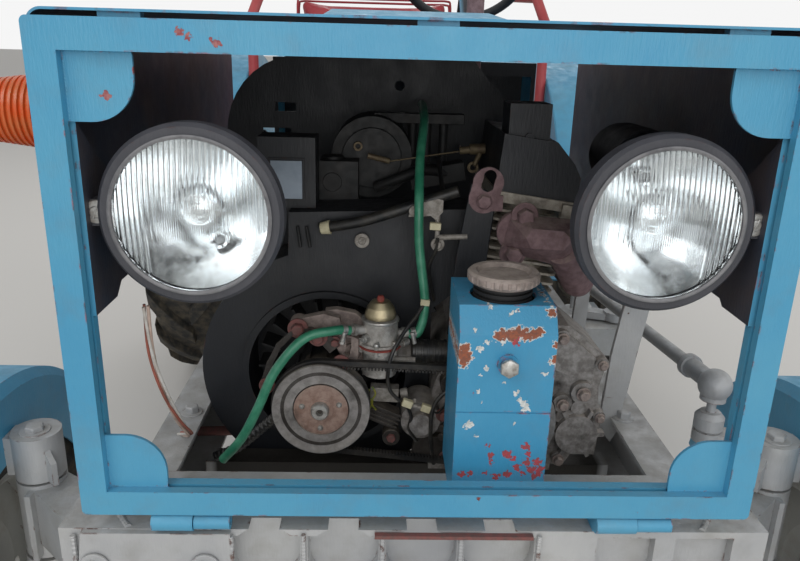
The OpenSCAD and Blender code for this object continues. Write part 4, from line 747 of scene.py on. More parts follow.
class TRACTOR_OT_headlamps(bpy.types.Operator):
    """Makes the fluted glasses, reflectors, bulbs, seals and adjusting screws of both headlamps"""
    bl_idname = "tractor.headlamps"
    bl_label = "Headlamps"

    def execute(self, context):
        props = context.scene.tractor_lamps
        x0, y0, z0 = props.centre
        bowl, bulbs, seals, ears = [bmesh.new() for _ in range(4)]
        for side, hand in SIDES:
            centre = Vector((side * x0, y0, z0))
            lamp_glass_piece(side, hand, props)
            # The parabola begins at the bulb's hole
            curve = [(r, BOWL_DEPTH - r * r / BOWL_CURVE) for r in range(12, 81, 4)]
            turned(bowl, curve + [(r, h + 1.2) for r, h in reversed(curve)], centre, (0, 1, 0), closed=True)
            rod(bowl, centre + Vector((0, 76, 0)), centre + Vector((0, 60, 0)), 24)
            turned(
                bowl, [(0, 36), (13, 36), (17, 39), (17, 41), (13, 44), (11, 60), (0, 60)], centre,
                (0, 1, 0))
            for ring_r in (15, 11.5, 8):
                turned(
                    bowl, [(ring_r - 1.2, 36), (ring_r, 34.6), (ring_r + 1.2, 36)], centre, (0, 1, 0),
                    closed=True)
            turned(
                bulbs, [(0, 42), (6, 44), (8.5, 50), (8, 58), (5, 66), (0, 66)], centre, (0, 1, 0),
                steps=24)
            # Small sidelight, below the bulb on the right lamp and above it on the left one
            pilot = centre + Vector((18, 0, -35) if side < 0 else (-16, 0, 44))
            turned(
                bowl, [(6, 46), (8.5, 44), (10, 46), (10, 58), (6, 58)], pilot, (0, 1, 0), steps=28,
                closed=True)
            ball(bulbs, pilot + Vector((0, 50, 0)), 10)
            turned(
                seals, [(79.2, 0.5), (81.6, -0.6), (83.4, 0.5), (82.6, 4), (79.8, 5)], centre, (0, 1, 0),
                steps=96, closed=True)
            ear = Vector((side * (x0 + 99), 31, z0 + 1))
            turned(ears, [(0, 0), (12, 0), (13, 2), (13, 14), (0, 14)], ear, (0, 1, 0), steps=32)
            screw(ears, ear, d=13, turn=1.2)
        new_piece("lamp_reflectors", bowl, "chrome", "bonnet")
        new_piece("lamp_bulbs", bulbs, "bulb_glass", "bonnet")
        new_piece("lamp_seals", seals, "grey_rubber", "bonnet")
        new_piece("lamp_ears", ears, "bright_zinc", "bonnet", bevel=0.5)
        lens = bmesh.new()
        for side in (1, -1):
            # Nine rings on a lens that tapers towards its end
            for k in range(9):
                h = 22 + k * 7
                r = 40.6 - (h - 20) * 0.128
                turned(lens, [(r - 2, h - 2), (r + 0.6, h - 1.2), (r + 0.6, h + 1.2), (r - 2, h + 2)],
                       Vector((side * 385, 100, 440)), (side, 0, 0), steps=64, closed=True)
        new_piece("indicator_ribs", lens, "orange_lens", "bonnet")
        return {"FINISHED"}


class TractorBelt(bpy.types.PropertyGroup):
    """The cogged belt and the pulley faces, in millimetres from the nose."""
    fan: FloatVectorProperty(
        name="Fan shaft", description="Centre of the fan pulley's front face", default=(-130, 200, 30))
    crank: FloatVectorProperty(
        name="Crankshaft", description="Centre of the crank pulley's face", default=(125, 200, 12))
    fan_r: FloatProperty(
        name="Fan pulley radius", description="Radius of the belt's middle on the fan pulley", default=67.5)
    crank_r: FloatProperty(
        name="Crank pulley radius", description="Radius of the belt's middle on the crank pulley",
        default=76.5)
    cog: FloatProperty(name="Cog pitch", description="Pitch of the belt's cogs", default=4.7)


class TRACTOR_OT_belt(bpy.types.Operator):
    """Makes the belt's cogs and the face, screws and collar of the fan pulley"""
    bl_idname = "tractor.belt"
    bl_label = "Belt and pulley"

    def execute(self, context):
        props = context.scene.tractor_belt
        fan, crank = Vector(props.fan), Vector(props.crank)
        run = crank - fan
        along = run.normalized()
        across = Vector((-along.z, 0, along.x))
        wrap = math.acos((props.fan_r - props.crank_r) / run.length)
        # From the belt's middle to its inner face, where the cogs are
        inner = 5.2
        bm = bmesh.new()
        for side in (1, -1):
            out = math.cos(wrap) * along + side * math.sin(wrap) * across
            start, end = fan + out * (props.fan_r - inner), crank + out * (props.crank_r - inner)
            count = int((end - start).length / props.cog)
            turn = Matrix.Rotation(-math.atan2((end - start).z, (end - start).x), 4, "Y")
            for k in range(count):
                place = start + (end - start) * ((k + 0.5) / count) + Vector((0, 12, 0))
                block(bm, (props.cog * 0.52, 7.6, 3.4), place, turn)
        new_piece("belt_cogs", bm, "belt_rubber")
        face, discs, studs = bmesh.new(), bmesh.new(), bmesh.new()
        turned(
            face, [(38.4, -6), (40, -2.2), (46, -3.2), (55, -3.4), (63, -1.8), (66.4, 0.2), (68.2, 0.3),
            (68.6, -3), (60, -8), (38.4, -8)], fan, steps=96, closed=True)
        turned(discs, [(0, -3), (0, 0.4), (31, 0.6), (36, 0.2), (38.2, -1.2), (38.2, -3)], fan, steps=72)
        turned(discs, [(0, 0), (0, 1), (17.4, 1), (18.2, 0), (18.2, -1)], fan, steps=48)
        turned(
            studs, [(4.4, 6.5), (5.2, 9.5), (10.5, 9.5), (12.6, 7), (13.2, 1), (13.2, 0), (4.4, 0)],
            fan + Vector((-1, 0, 1)), steps=36, closed=True)
        for turn in (0.35, 2.9, 4.68):
            place = fan + 27 * Vector((math.cos(turn), 0, math.sin(turn)))
            turned(studs, [(0, 3.6), (2.2, 3.4), (4.2, 1.2), (4.6, -1), (0, -1)], place, steps=16)
        new_piece("fan_pulley_face", face, "dusty_iron")
        new_piece("fan_pulley_disc", discs, "rust_dust")
        new_piece("fan_pulley_screws", studs, "bright_zinc")
        crank_face = bmesh.new()
        turned(
            crank_face, [(30, -5), (34, -2), (58, -4), (72, -1), (77, 0.3), (77, -3), (60, -8), (30, -8)],
            crank, steps=96, closed=True)
        bolt(crank_face, crank, across=32, head=14)
        new_piece("crank_pulley_face", crank_face, "dusty_iron")
        return {"FINISHED"}


# Where each hose, pipe and wire runs, in millimetres from the nose
HOSE_IN = [
    (-91.4, 222.8, 142.1), (-112, 211, 146), (-152, 200, 138), (-190, 190, 95), (-215, 185, 40),
    (-240, 190, -10), (-270, 200, -50)]
HOSE_OUT = [
    (-8.5, 253.1, 126), (6, 255, 129), (14, 260, 170), (4, 272, 250), (2, 282, 310), (4, 330, 365),
    (12, 400, 410), (16, 520, 425), (20, 639.7, 420)]
BREATHER = [(-140, 321.4, 262), (-80, 313, 275), (-20, 306, 296), (30, 300, 315), (58, 296, 326)]
CONDUIT = [(-174.6, 264, 4.5), (-192, 264.5, -5.5), (-222, 267, -34), (-262, 272, -72), (-300, 282, -96)]
LAMP_LEAD = [
    (-330, 110, 215), (-330, 118, 150), (-322, 130, 90), (-312, 150, 40), (-310, 185, 0),
    (-335, 225, -23.6)]


# Radius at which the lamp lead's three wires twist about its line, and how far they turn at each point
TWIST_R, TWIST_STEP = 3.3, 1.1


def clip(bm, place, towards, d):
    """A worm-drive hose clip: a band and its screw."""
    way = Vector(towards).normalized()
    r = d / 2
    turned(bm, [(r, -3.5), (r + 1, -3.5), (r + 1, 3.5), (r, 3.5)], place, way, steps=28, closed=True)
    side = way.cross(Vector((0, 1, 0))).normalized()
    foot = Vector(place) + Vector((0, -1, -1)).normalized() * (r + 3)
    rod(bm, foot - side * 7, foot + side * 7, 7, sides=12)
    rod(bm, foot + side * 7, foot + side * 11, 9, sides=6)


class TRACTOR_OT_hoses(bpy.types.Operator):
    """Makes the fuel hoses with their clips, the breather pipe, the ribbed conduit and the lamp wires"""
    bl_idname = "tractor.hoses"
    bl_label = "Hoses and lamp wires"

    def execute(self, context):
        bm = bmesh.new()
        sweep(bm, HOSE_IN, 13, sides=20, per=8)
        sweep(bm, HOSE_OUT, 13, sides=20, per=8)
        new_piece("fuel_hose_pair", bm, "green_hose", replaces=["fuel_hoses"])
        clips = bmesh.new()
        clip(clips, (-99, 218.5, 144.3), (-0.9, -0.45, 0.2), 13.6)
        clip(clips, (-1, 254, 127.5), (1, 0.1, 0.2), 13.6)
        new_piece("hose_clips", clips, "bright_zinc", bevel=0.3)
        bm = bmesh.new()
        sweep(bm, BREATHER, 16, sides=20, per=8)
        sweep(bm, CONDUIT, 16, sides=16, per=24, ribs=0.12)
        new_piece("breather_and_conduit", bm, "shiny_rubber", replaces=["engine_pipes"])
        sleeve = bmesh.new()
        rod(sleeve, (-138, 320.5, 262), (-124, 319, 264.5), 17, d_end=21)
        new_piece("breather_sleeve", sleeve, "nylon", bevel=0.5)
        wires = (
            ("cream_wire", 0, 4.2, "lead_sleeve"), ("pink_wire", 1, 3.6, "pink_wire"),
            ("white_wire", 2, 3.8, "white_wire"))
        for name, k, d, finish in wires:
            bm = bmesh.new()
            turn = k * math.tau / 3
            route = []
            for n, p in enumerate(LAMP_LEAD):
                twist = turn + n * TWIST_STEP
                off = Vector((math.cos(twist), 0.6 * math.sin(twist), 0.4 * math.sin(twist)))
                route.append(Vector(p) + TWIST_R * off)
            sweep(bm, route, d, sides=10, per=8)
            new_piece("lamp_" + name, bm, finish, replaces=["lamp_lead"])
        return {"FINISHED"}


class TRACTOR_OT_wiring(bpy.types.Operator):
    """Makes the black and yellow wires with their connectors, beside the fuel pump and below the belt"""
    bl_idname = "tractor.wiring"
    bl_label = "Engine wiring"

    def execute(self, context):
        bm = bmesh.new()
        for wire in (
                ([(12, 256, 170), (2, 246, 156), (-14, 232, 139), (-29, 216, 118), (-36, 213.5, 96),
                  (-37, 221, 78), (-37, 223, 66), (-32, 224, 48), (-19, 226, 33)], 5.5, 10),
                ([(-12, 226, 31), (-2, 228, 8), (-4, 236, -18), (8, 240, -40)], 5, 10),
                ([(60, 222, 57), (46, 222, 50), (33, 222, 34), (27, 222, 11), (28, 224, -30),
                  (34, 226, -70)], 6, 10),
                ([(24, 227, 20), (36, 230, 12), (44, 234, 18), (52, 238, 30)], 3, 8),
                ([(30, 284, 260), (28, 286, 240), (20, 290, 215), (26, 296, 180), (30, 300, 160)], 5, 8)):
            sweep(bm, *wire)
        new_piece("black_wires", bm, "shiny_rubber")
        bm = bmesh.new()
        sweep(bm, [(-59, 236, 50), (-54, 233, 40), (-60, 232, 27), (-53, 234, 14)], 2.6, sides=8)
        sweep(bm, [(-63, 236, 46), (-66, 233, 36), (-58, 231, 30), (-62, 234, 16)], 2.6, sides=8)
        new_piece("yellow_wires", bm, "yellow_wire")
        bm = bmesh.new()
        for place, size, turn in (
                ((14, 257, 173), (13, 9, 9), 0.1), ((-8, 226, 29.5), (15, 9, 11), 0.35),
                ((19, 226, 22), (14, 9, 11), 0.35), ((26.5, 290, 276), (16, 10, 10), 0.05)):
            block(bm, size, place, Matrix.Rotation(turn, 4, "Y"))
        new_piece("wire_connectors", bm, "nylon", bevel=1.0)
        bm = bmesh.new()
        for bar in (
                ((0, 226, 26.5), (12, 226, 22.5), 6, 12), ((3, 226, 30), (3, 226, 37), 5, 8),
                ((-17, 258, 28), (-6, 258, 31), 15)):
            rod(bm, *bar)
        block(bm, (42, 18, 22), (-41, 258, 30), Matrix.Rotation(0.05, 4, "Y"))
        new_piece("switch_body", bm, "pale_cast", bevel=1.2)
        return {"FINISHED"}


class TRACTOR_OT_pump(bpy.types.Operator):
    """Makes the fuel pump's gasket, screws, studs and priming lever"""
    bl_idname = "tractor.pump"
    bl_label = "Fuel pump fittings"

    def execute(self, context):
        axis = Vector((-49, 245, 0))
        bm = bmesh.new()
        turned(bm, [(20, 112), (30.6, 112), (30.6, 114.4), (20, 114.4)], axis, (0, 0, 1), closed=True)
        turned(bm, [(0, 178), (5, 178), (5.4, 183), (3.5, 186), (0, 186.5)], axis, (0, 0, 1), steps=20)
        new_piece("pump_gasket", bm, "red_primer")
        bm = bmesh.new()
        for k in range(6):
            turn = math.radians(20 + 60 * k)
            place = axis + Vector((27 * math.cos(turn), 27 * math.sin(turn), 122))
            screw(bm, place, d=8.4, towards=(0, 0, 1), turn=k)
        turned(
            bm, [(21.5, 148), (26.4, 149.5), (27, 151.5), (26.4, 153.5), (21.5, 155)], axis, (0, 0, 1),
            steps=64, closed=True)
        for x, y, z in ((-72, 224, 128), (-18, 236, 118)):
            rod(bm, (x + 8, y + 8, z), (x, y, z), 11, sides=16)
            rod(bm, (x, y, z), (x - 2, y - 2, z), 6, sides=6)
        new_piece("pump_screws", bm, "bright_zinc", bevel=0.3)
        return {"FINISHED"}


class TRACTOR_OT_engine(bpy.types.Operator):
    """Makes the bolts, rubber sleeve, small castings, linkage and carburettor of the engine bay"""
    bl_idname = "tractor.engine"
    bl_label = "Engine fittings"

    def execute(self, context):
        rusty = bmesh.new()
        # Adjusting arm and bracket: across, front face, up, width across flats
        for x, y, z, size in (
                (-135, 222, 132, 15), (-112, 228.3, 122, 10), (-103, 222, 93, 14), (-207, 222, 57, 13),
                (-163, 228, 142, 16)):
            bolt(rusty, (x, y, z), size, turn=x)
        for x, z in ((46, 3), (53, -68), (-30, -34)):
            bolt(rusty, (x, 242, z), 12, turn=x)
        new_piece("engine_bolts", rusty, "rust_red", bevel=0.4)
        heads = bmesh.new()
        # Lifting eye and exhaust flange
        bolt(heads, (93, 283.7, 314), 18, head=7, washer=1.2)
        bolt(heads, (147, 262, 300), 21, head=15, turn=0.1)
        bolt(heads, (134, 262, 246), 21, head=17, turn=0.6)
        bolt(heads, (206, 258, 280), 17, head=20, turn=0.8)
        new_piece("exhaust_bolts", heads, "rusty_steel", bevel=1.0)
        # Bosses round the crankshaft: across and up from it, how far they stand out, width across flats
        bosses, crank = bmesh.new(), Vector((125, 232, 12))
        for x, z, h, size in (
                (120, 36, 8, 14), (92, 18, 6, 12), (143, 82, 9, 10), (148, -2, 8, 10), (82, 122, 9, 12),
                (93, -72, 7, 12)):
            bolt(bosses, crank + Vector((x, -h, z)), size, washer=1.5, turn=z)
        new_piece("housing_bolts", bosses, "bracket_cast", bevel=0.6)
        # The generator's casting behind the pump, with two bosses
        arm = bmesh.new()
        plate(
            arm, [(-70, 74), (-91, 68), (-110, 96), (-108, 119), (-118, 131), (-136, 133), (-146, 139),
            (-128, 158), (-111, 160), (-85, 155), (-70, 144), (-70, 110)], 256, 16)
        rod(arm, (-90, 262, 96), (-90, 250, 96), 27)
        rod(arm, (-112, 262, 136), (-112, 250, 136), 22)
        new_piece("generator_casting", arm, "bracket_cast", bevel=3.0)
        flank = bmesh.new()
        plate(flank, [(74, 339), (111, 322), (102, 220), (91, 111), (51, 111), (57, 224)], 288, 5)
        new_piece("cylinder_cowling", flank, "black_paint", bevel=1.5)
        tower_bolt = bmesh.new()
        bolt(tower_bolt, (100, 53.6, 167), 20.5, head=5, washer=1.0, turn=0.0)
        new_piece("tower_bolt", tower_bolt, "bright_zinc", bevel=0.8)
        castings = bmesh.new()
        # Ribbed foot between the fan body and the round housing, and its neighbours
        lean = Matrix.Rotation(0.42, 4, "Y")
        block(castings, (46, 22, 26), (-44, 252, 0), lean)
        for k in range(4):
            block(castings, (48, 4, 3), (-44 + k * 2.4, 240, -9 + k * 6.2), lean)
        rod(castings, (-30, 262, -34), (-30, 238, -34), 26)
        rod(castings, (60, 262, 50), (60, 242, 50), 40)
        block(castings, (60, 16, 40), (34, 256, -58), Matrix.Rotation(0.15, 4, "Y"))
        weld(castings, [(-4, 246, -66), (20, 247, -72), (50, 247, -76)], 7)
        for z in (-20, -34):
            rod(castings, (52, 252, z), (44, 240, z), 12)
        new_piece("small_castings", castings, "dark_steel", bevel=1.0)
        rods = bmesh.new()
        for bar in (
                ((-38, 240, 92.5), (2, 240, 91), 9), ((-30, 240, 110), (-30, 240, 78), 5),
                ((-34, 240, 92.4), (-27, 240, 92), 14)):
            rod(rods, *bar)
        # Throttle bracket: a cast plate, its pivots and the pin that points left
        plate(
            rods, [(-12, 288), (-6, 304), (8, 309), (30, 315), (37, 313), (37, 296), (27, 284), (20, 290),
            (2, 288)], 292, 6)
        for bar in (
                ((-3, 294, 297), (-3, 288, 297), 17), ((29, 291, 259), (73, 289, 262), 8),
                ((30, 296, 292), (30, 292, 246), 7)):
            rod(rods, *bar)
        bolt(rods, (31, 292, 249), 11)
        screw(rods, (-78, 326, 243), d=12)
        rod(rods, (-78, 330, 243), (-78, 325, 243), 22)
        new_piece("throttle_bracket", rods, "pale_cast", bevel=0.6)
        # Rubber sleeve between the pump and the tower
        tubes = bmesh.new()
        rod(tubes, (-2, 262, 95), (49, 262, 95), 34)
        for k in range(6):
            rod(tubes, (2 + k * 8.4, 262, 95), (6 + k * 8.4, 262, 95), 37)
        new_piece("ribbed_sleeve", tubes, "shiny_rubber", bevel=0.6)
        # Round housing and its neck, jets, float chamber, rods and the rail behind them
        carb = bmesh.new()
        for bar in (
                ((-67, 560, 345), (-67, 470, 345), 132, 48), ((-67, 470, 345), (-67, 462, 345), 96, 48),
                ((-128, 440, 312), (-128, 420, 312), 30), ((-104, 440, 296), (-104, 424, 296), 20),
                ((-128, 450, 350), (-128, 450, 276), 34), ((15, 440, 342), (1, 300, 311), 7),
                ((40, 440, 351), (37, 300, 313), 7), ((-179, 440, 374), (-140, 440, 322), 3),
                ((-173, 330, 262), (-168, 322, 232), 5), ((-160, 330, 262), (-154, 322, 232), 5)):
            rod(carb, *bar)
        for x in (-30, 0, 24, 52):
            rod(carb, (x, 520, 330), (x, 520, 405), 15)
        sweep(carb, [(-60, 450, 300), (-20, 440, 318), (20, 450, 330), (60, 460, 322)], 18)
        block(carb, (62, 60, 70), (-118, 452, 310))
        block(carb, (90, 40, 30), (40, 470, 320), Matrix.Rotation(-0.2, 4, "Y"))
        block(carb, (150, 26, 16), (10, 520, 405))
        new_piece("carburettor", carb, "black_iron", bevel=0.8)
        # Throttle rod with its end fitting, and two eyelets
        brass = bmesh.new()
        for bar in (
                ((-73, 440, 352), (-38, 440, 344), 9, 12), ((-38, 440, 344), (72, 440, 362), 2.6, 8),
                ((72, 440, 363), (88, 440, 365), 12, 12), ((88, 440, 365.5), (112, 440, 367), 17, 16),
                ((104, 436, 360), (95, 432, 341), 8, 10)):
            rod(brass, *bar)
        turned(brass, [(4.5, 0), (9, 0), (9, 5), (4.5, 5)], (94, 438, 338), steps=24, closed=True)
        turned(brass, [(4, 0), (7.5, 0), (7.5, 6), (4, 6)], (-89, 462, 364), steps=24, closed=True)
        new_piece("throttle_rod", brass, "dull_brass", bevel=0.4)
        plates = bmesh.new()
        plate(plates, [(-213, 299), (-213, 355), (-167, 355), (-167, 299)], 348.2, 1.2)
        new_piece("control_plate", plates, "silver_plate", bevel=0.4)
        return {"FINISHED"}


class TRACTOR_OT_chassis(bpy.types.Operator):
    """Makes the bolts and weld beads of the axle, hinges and rails, and the rusty strips"""
    bl_idname = "tractor.chassis"
    bl_label = "Chassis fittings"

    def execute(self, context):
        bm = bmesh.new()
        # On the axle's front plate, then on each rail's upper flange and each kingpin
        for x in (-378, -250):
            bolt(bm, (x, 2, -70), 19)
        for side in (-1, 1):
            for y in (300, 640, 980, 1320):
                bolt(bm, (side * 337, y, -30), 18, (0, 0, 1))
            bolt(bm, (side * 550, 240, -30), 24, (0, 0, 1), head=8)
        new_piece("chassis_bolts", bm, "grey_paint", bevel=0.5)
        beads = bmesh.new()
        for x in (-308, 207):
            weld(beads, [(x + 2, 20, -24), (x + 45, 20, -24)], 5)
        new_piece("hinge_welds", beads, "blue_paint")
        beads = bmesh.new()
        for x in (-402, -220):
            weld(beads, [(x, 8, -100), (x, 8, -64), (x, 8, -32)], 7)
        for k in range(5):
            x = 4 + (k - 2.5) * 93
            weld(beads, [(x, 9.5, -99), (x, 9.5, -60), (x, 9.5, -30)], 6)
        for side in (-1, 1):
            weld(beads, [(side * 340, 16, -26), (side * 372, 60, -26), (side * 400, 112, -28)], 8)
        new_piece("axle_welds", beads, "grey_paint")
        # Rusty strip along the axle plate's upper edge, and a short bar at the right rail
        rust = bmesh.new()
        plate(rust, [(-52, -31.5), (-52, -27), (135, -27), (135, -31.5)], 3, 8)
        rod(rust, (-358, 400, -120), (-232, 400, -116), 16)
        new_piece("rusty_strip", rust, "rust_red", bevel=0.5)
        return {"FINISHED"}


class TractorSeat(bpy.types.PropertyGroup):
    """The two cushions, in millimetres from the nose."""
    base_low: FloatVectorProperty(
        name="Base low", description="Lowest corner of the seat cushion", default=(-329, 1560, 222.3))
    base_size: FloatVectorProperty(
        name="Base size", description="Size of the seat cushion", default=(490, 400, 96))
    back_pivot: FloatVectorProperty(
        name="Back pivot", description="Foot of the leaning cushion", default=(-84, 1985, 300))
    back_size: FloatVectorProperty(
        name="Back size", description="Size of the leaning cushion", default=(562, 70, 390))
    lean: FloatProperty(
        name="Lean", description="Lean of the back", default=math.radians(12), subtype="ANGLE")
    pressure: FloatProperty(
        name="Pressure", description="Pressure that swells the cushions", default=4.0)


def cushion(name, low, size, turn, props, cap=0.024):
    """A stuffed cushion: a rounded block that cloth swells, with a welt round each of its two edges."""
    bm = bmesh.new()
    inset = 9
    block(bm, [s - 2 * inset for s in size], [l + s / 2 for l, s in zip(low, size)])
    bmesh.ops.bevel(
        bm, geom=bm.edges[:], offset=16, offset_type="OFFSET", segments=3, profile=0.5, affect="EDGES",
        material=-1)
    bmesh.ops.transform(bm, matrix=turn, verts=bm.verts)
    piece = new_piece(name, bm, "red_vinyl", replaces=["seat"], sharp=180)
    swell(piece, props.pressure, cap)
    rise = piece.modifiers.new("smooth_cover", "SUBSURF")
    rise.levels = rise.render_levels = 1
    welt = bmesh.new()
    thin = min(range(3), key=lambda k: size[k])
    a, b = [k for k in range(3) if k != thin]
    # Each welt runs 10 inside the outline, straight along the sides and rounded at the corners
    for face in (0.16, 0.84):
        corners = []
        for u, v in ((0, 0), (1, 0), (1, 1), (0, 1)):
            p = [0.0, 0.0, 0.0]
            p[thin] = low[thin] + face * size[thin]
            p[a] = low[a] + 10 + u * (size[a] - 20)
            p[b] = low[b] + 10 + v * (size[b] - 20)
            corners.append(Vector(p))
        route = []
        for i in range(4):
            start, end = corners[i], corners[(i + 1) % 4]
            way = (end - start).normalized()
            route += [start + way * 14, start + way * 90, end - way * 90, end - way * 14]
        sweep(welt, [turn @ p for p in route + route[:1]], 8, sides=8, per=4)
    new_piece(name + "_welt", welt, "red_vinyl", sharp=180)


# Size of the cloth's mesh in metres, and how long it swells
CLOTH_MESH, CLOTH_STEPS = 0.009, 18


def swell(piece, pressure, cap):
    """Blows the piece up as cloth, lets no point move further than the cap, and keeps the shape."""
    scene = bpy.context.scene
    remesh = piece.modifiers.new("even_mesh", "REMESH")
    remesh.mode, remesh.voxel_size = "VOXEL", CLOTH_MESH
    apply_modifiers(piece)
    rest = [v.co.copy() for v in piece.data.vertices]
    cloth = piece.modifiers.new("cloth", "CLOTH")
    cloth.settings.use_pressure = True
    cloth.settings.uniform_pressure_force = pressure
    cloth.settings.effector_weights.gravity = 0
    cloth.settings.quality = 4
    for step in range(1, CLOTH_STEPS + 1):
        scene.frame_set(step)
    apply_modifiers(piece)
    scene.frame_set(1)
    for v, start in zip(piece.data.vertices, rest):
        move = v.co - start
        if move.length > cap:
            v.co = start + move.normalized() * cap


def apply_modifiers(piece):
    """Keeps the shape that the modifiers give, and removes them."""
    shaped = bpy.data.meshes.new_from_object(piece.evaluated_get(bpy.context.evaluated_depsgraph_get()))
    piece.modifiers.clear()
    piece.data = shaped


class TRACTOR_OT_seat(bpy.types.Operator):
    """Makes the two stuffed vinyl cushions with their welts"""
    bl_idname = "tractor.seat"
    bl_label = "Seat"

    def execute(self, context):
        props = context.scene.tractor_seat
        cushion("seat_cushion", props.base_low, props.base_size, Matrix(), props)
        pivot = Vector(props.back_pivot)
        turn = Matrix.Translation(pivot) @ Matrix.Rotation(-props.lean, 4, "X")
        cushion("back_cushion", (-props.back_size[0] / 2, -40, 0), props.back_size, turn, props)
        return {"FINISHED"}


class TractorTyres(bpy.types.PropertyGroup):
    """The rear tyres, in millimetres from the nose."""
    centre: FloatVectorProperty(
        name="Centre", description="Centre of the left rear wheel", default=(650, 1950, -110))
    radius: FloatProperty(name="Radius", description="Radius over the lugs", default=550)
    half_width: FloatProperty(
        name="Half width", description="Half of the tyre's width", default=135)
    rim_r: FloatProperty(name="Rim radius", description="Radius of the bead seat", default=305)
    lug_h: FloatProperty(name="Lug height", description="Height of the lugs", default=26)
    lugs: IntProperty(name="Lugs", description="Lugs on each half", default=18)


def rear_tyre(side, hand, props):
    """A bias tyre: a spun carcass with swept lugs that run down its shoulders."""
    r, w, b = props.radius, props.half_width, props.rim_r
    low = r - props.lug_h
    bm = bmesh.new()
    half = [
        (low + 1, 0), (low, w * 0.4), (low - 4, w * 0.6), (low - 12, w * 0.8), (low - 26, w * 0.92),
        (low - 50, w - 1), (low - 84, w - 1), ((r + b) / 2 + 20, w - 3), ((r + b) / 2 - 20, w - 7),
        (b + 46, w - 13), (b + 30, w - 16), (b + 22, w - 22), (b + 18, w - 31), (b + 1, w - 31)]
    outline = [(radius, -h) for radius, h in reversed(half)] + half[1:]
    turned(bm, outline, (0, 0, 0), (1, 0, 0), steps=108, closed=True)
    rows = [
        (2, r - 2, -3), (w * 0.3, r, 2), (w * 0.55, r - 3, 7), (w * 0.78, r - 9, 11),
        (w * 0.94, r - 20, 14), (w - 0.5, r - 44, 16), (w - 0.5, r - 66, 17)]
    pitch = 360 / props.lugs
    before = set(bm.verts)
    bmesh.ops.create_grid(bm, x_segments=len(rows) - 1, y_segments=1, size=1)
    lug = [v for v in bm.verts if v not in before]
    top = list({f for v in lug for f in v.link_faces})
    made = bmesh.ops.extrude_face_region(bm, geom=top)["geom"]
    crown = {v for v in made if isinstance(v, bmesh.types.BMVert)}
    lug = [v for v in bm.verts if v not in before]
    for v in lug:
        row = rows[round((v.co.x + 1) / 2 * (len(rows) - 1))]
        wide = 0.15 if v in crown else 0.21
        radius = row[1] if v in crown else row[1] - props.lug_h - 8
        turn = math.radians(row[2] + pitch * wide * (1 if v.co.y > 0 else -1))
        out = row[0] if v in crown else min(row[0], w - 5)
        v.co = Vector((out, radius * math.sin(turn), radius * math.cos(turn)))
    lug = set(lug)
    parts = bm.verts[:] + bm.edges[:] + bm.faces[:]
    shape = [g for g in parts if all(v in lug for v in getattr(g, "verts", [g]))]
    for half_side in (1, -1):
        for k in range(props.lugs):
            if half_side == 1 and k == 0:
                continue
            copy = bmesh.ops.duplicate(bm, geom=shape)["geom"]
            verts = [g for g in copy if isinstance(g, bmesh.types.BMVert)]
            if half_side < 0:
                bmesh.ops.scale(bm, verts=verts, vec=(-1, 1, 1))
            turn = math.radians(pitch * (k + (0.5 if half_side < 0 else 0)))
            bmesh.ops.rotate(bm, verts=verts, cent=(0, 0, 0), matrix=Matrix.Rotation(-turn, 3, "X"))
    x, y, z = props.centre
    bmesh.ops.scale(bm, verts=bm.verts, vec=(side, 1, 1))
    bmesh.ops.translate(bm, verts=bm.verts, vec=(side * x, y, z))
    new_piece(
        f"lugged_tyre_{hand}", bm, "tyre_rubber", f"rear_wheel_{hand}", [f"rear_tyre_{hand}"], bevel=3.0,
        sharp=50)


class TRACTOR_OT_rear_tyres(bpy.types.Operator):
    """Makes both lugged rear tyres"""
    bl_idname = "tractor.rear_tyres"
    bl_label = "Rear tyres"

    def execute(self, context):
        for side, hand in SIDES:
            rear_tyre(side, hand, context.scene.tractor_tyres)
        return {"FINISHED"}


class TRACTOR_OT_wheel_nuts(bpy.types.Operator):
    """Makes the nuts, hub caps and valves of the four wheels"""
    bl_idname = "tractor.wheel_nuts"
    bl_label = "Wheel nuts"

    def execute(self, context):
        for side, hand in SIDES:
            for name, centre, r, face, count, size in (
                    ("front", (side * 680, 240, -330), 66, 8, 5, 19),
                    ("rear", (side * 650, 1950, -110), 90, -14, 6, 27)):
                bm = bmesh.new()
                centre = Vector(centre)
                out = Vector((side, 0, 0))
                for k in range(count):
                    turn = k * math.tau / count + 0.2
                    place = centre + out * face + r * Vector((0, math.cos(turn), math.sin(turn)))
                    bolt(bm, place, size, out, stub=6)
                cap = 36 if name == "front" else 60
                turned(
                    bm, [(0, cap + 8), (20, cap + 6), (26, cap), (28, cap - 20), (0, cap - 20)], centre,
                    (side, 0, 0), steps=36)
                new_piece(f"{name}_wheel_nuts_{hand}", bm, "dusty_iron", f"{name}_wheel_{hand}", bevel=0.6)
        return {"FINISHED"}


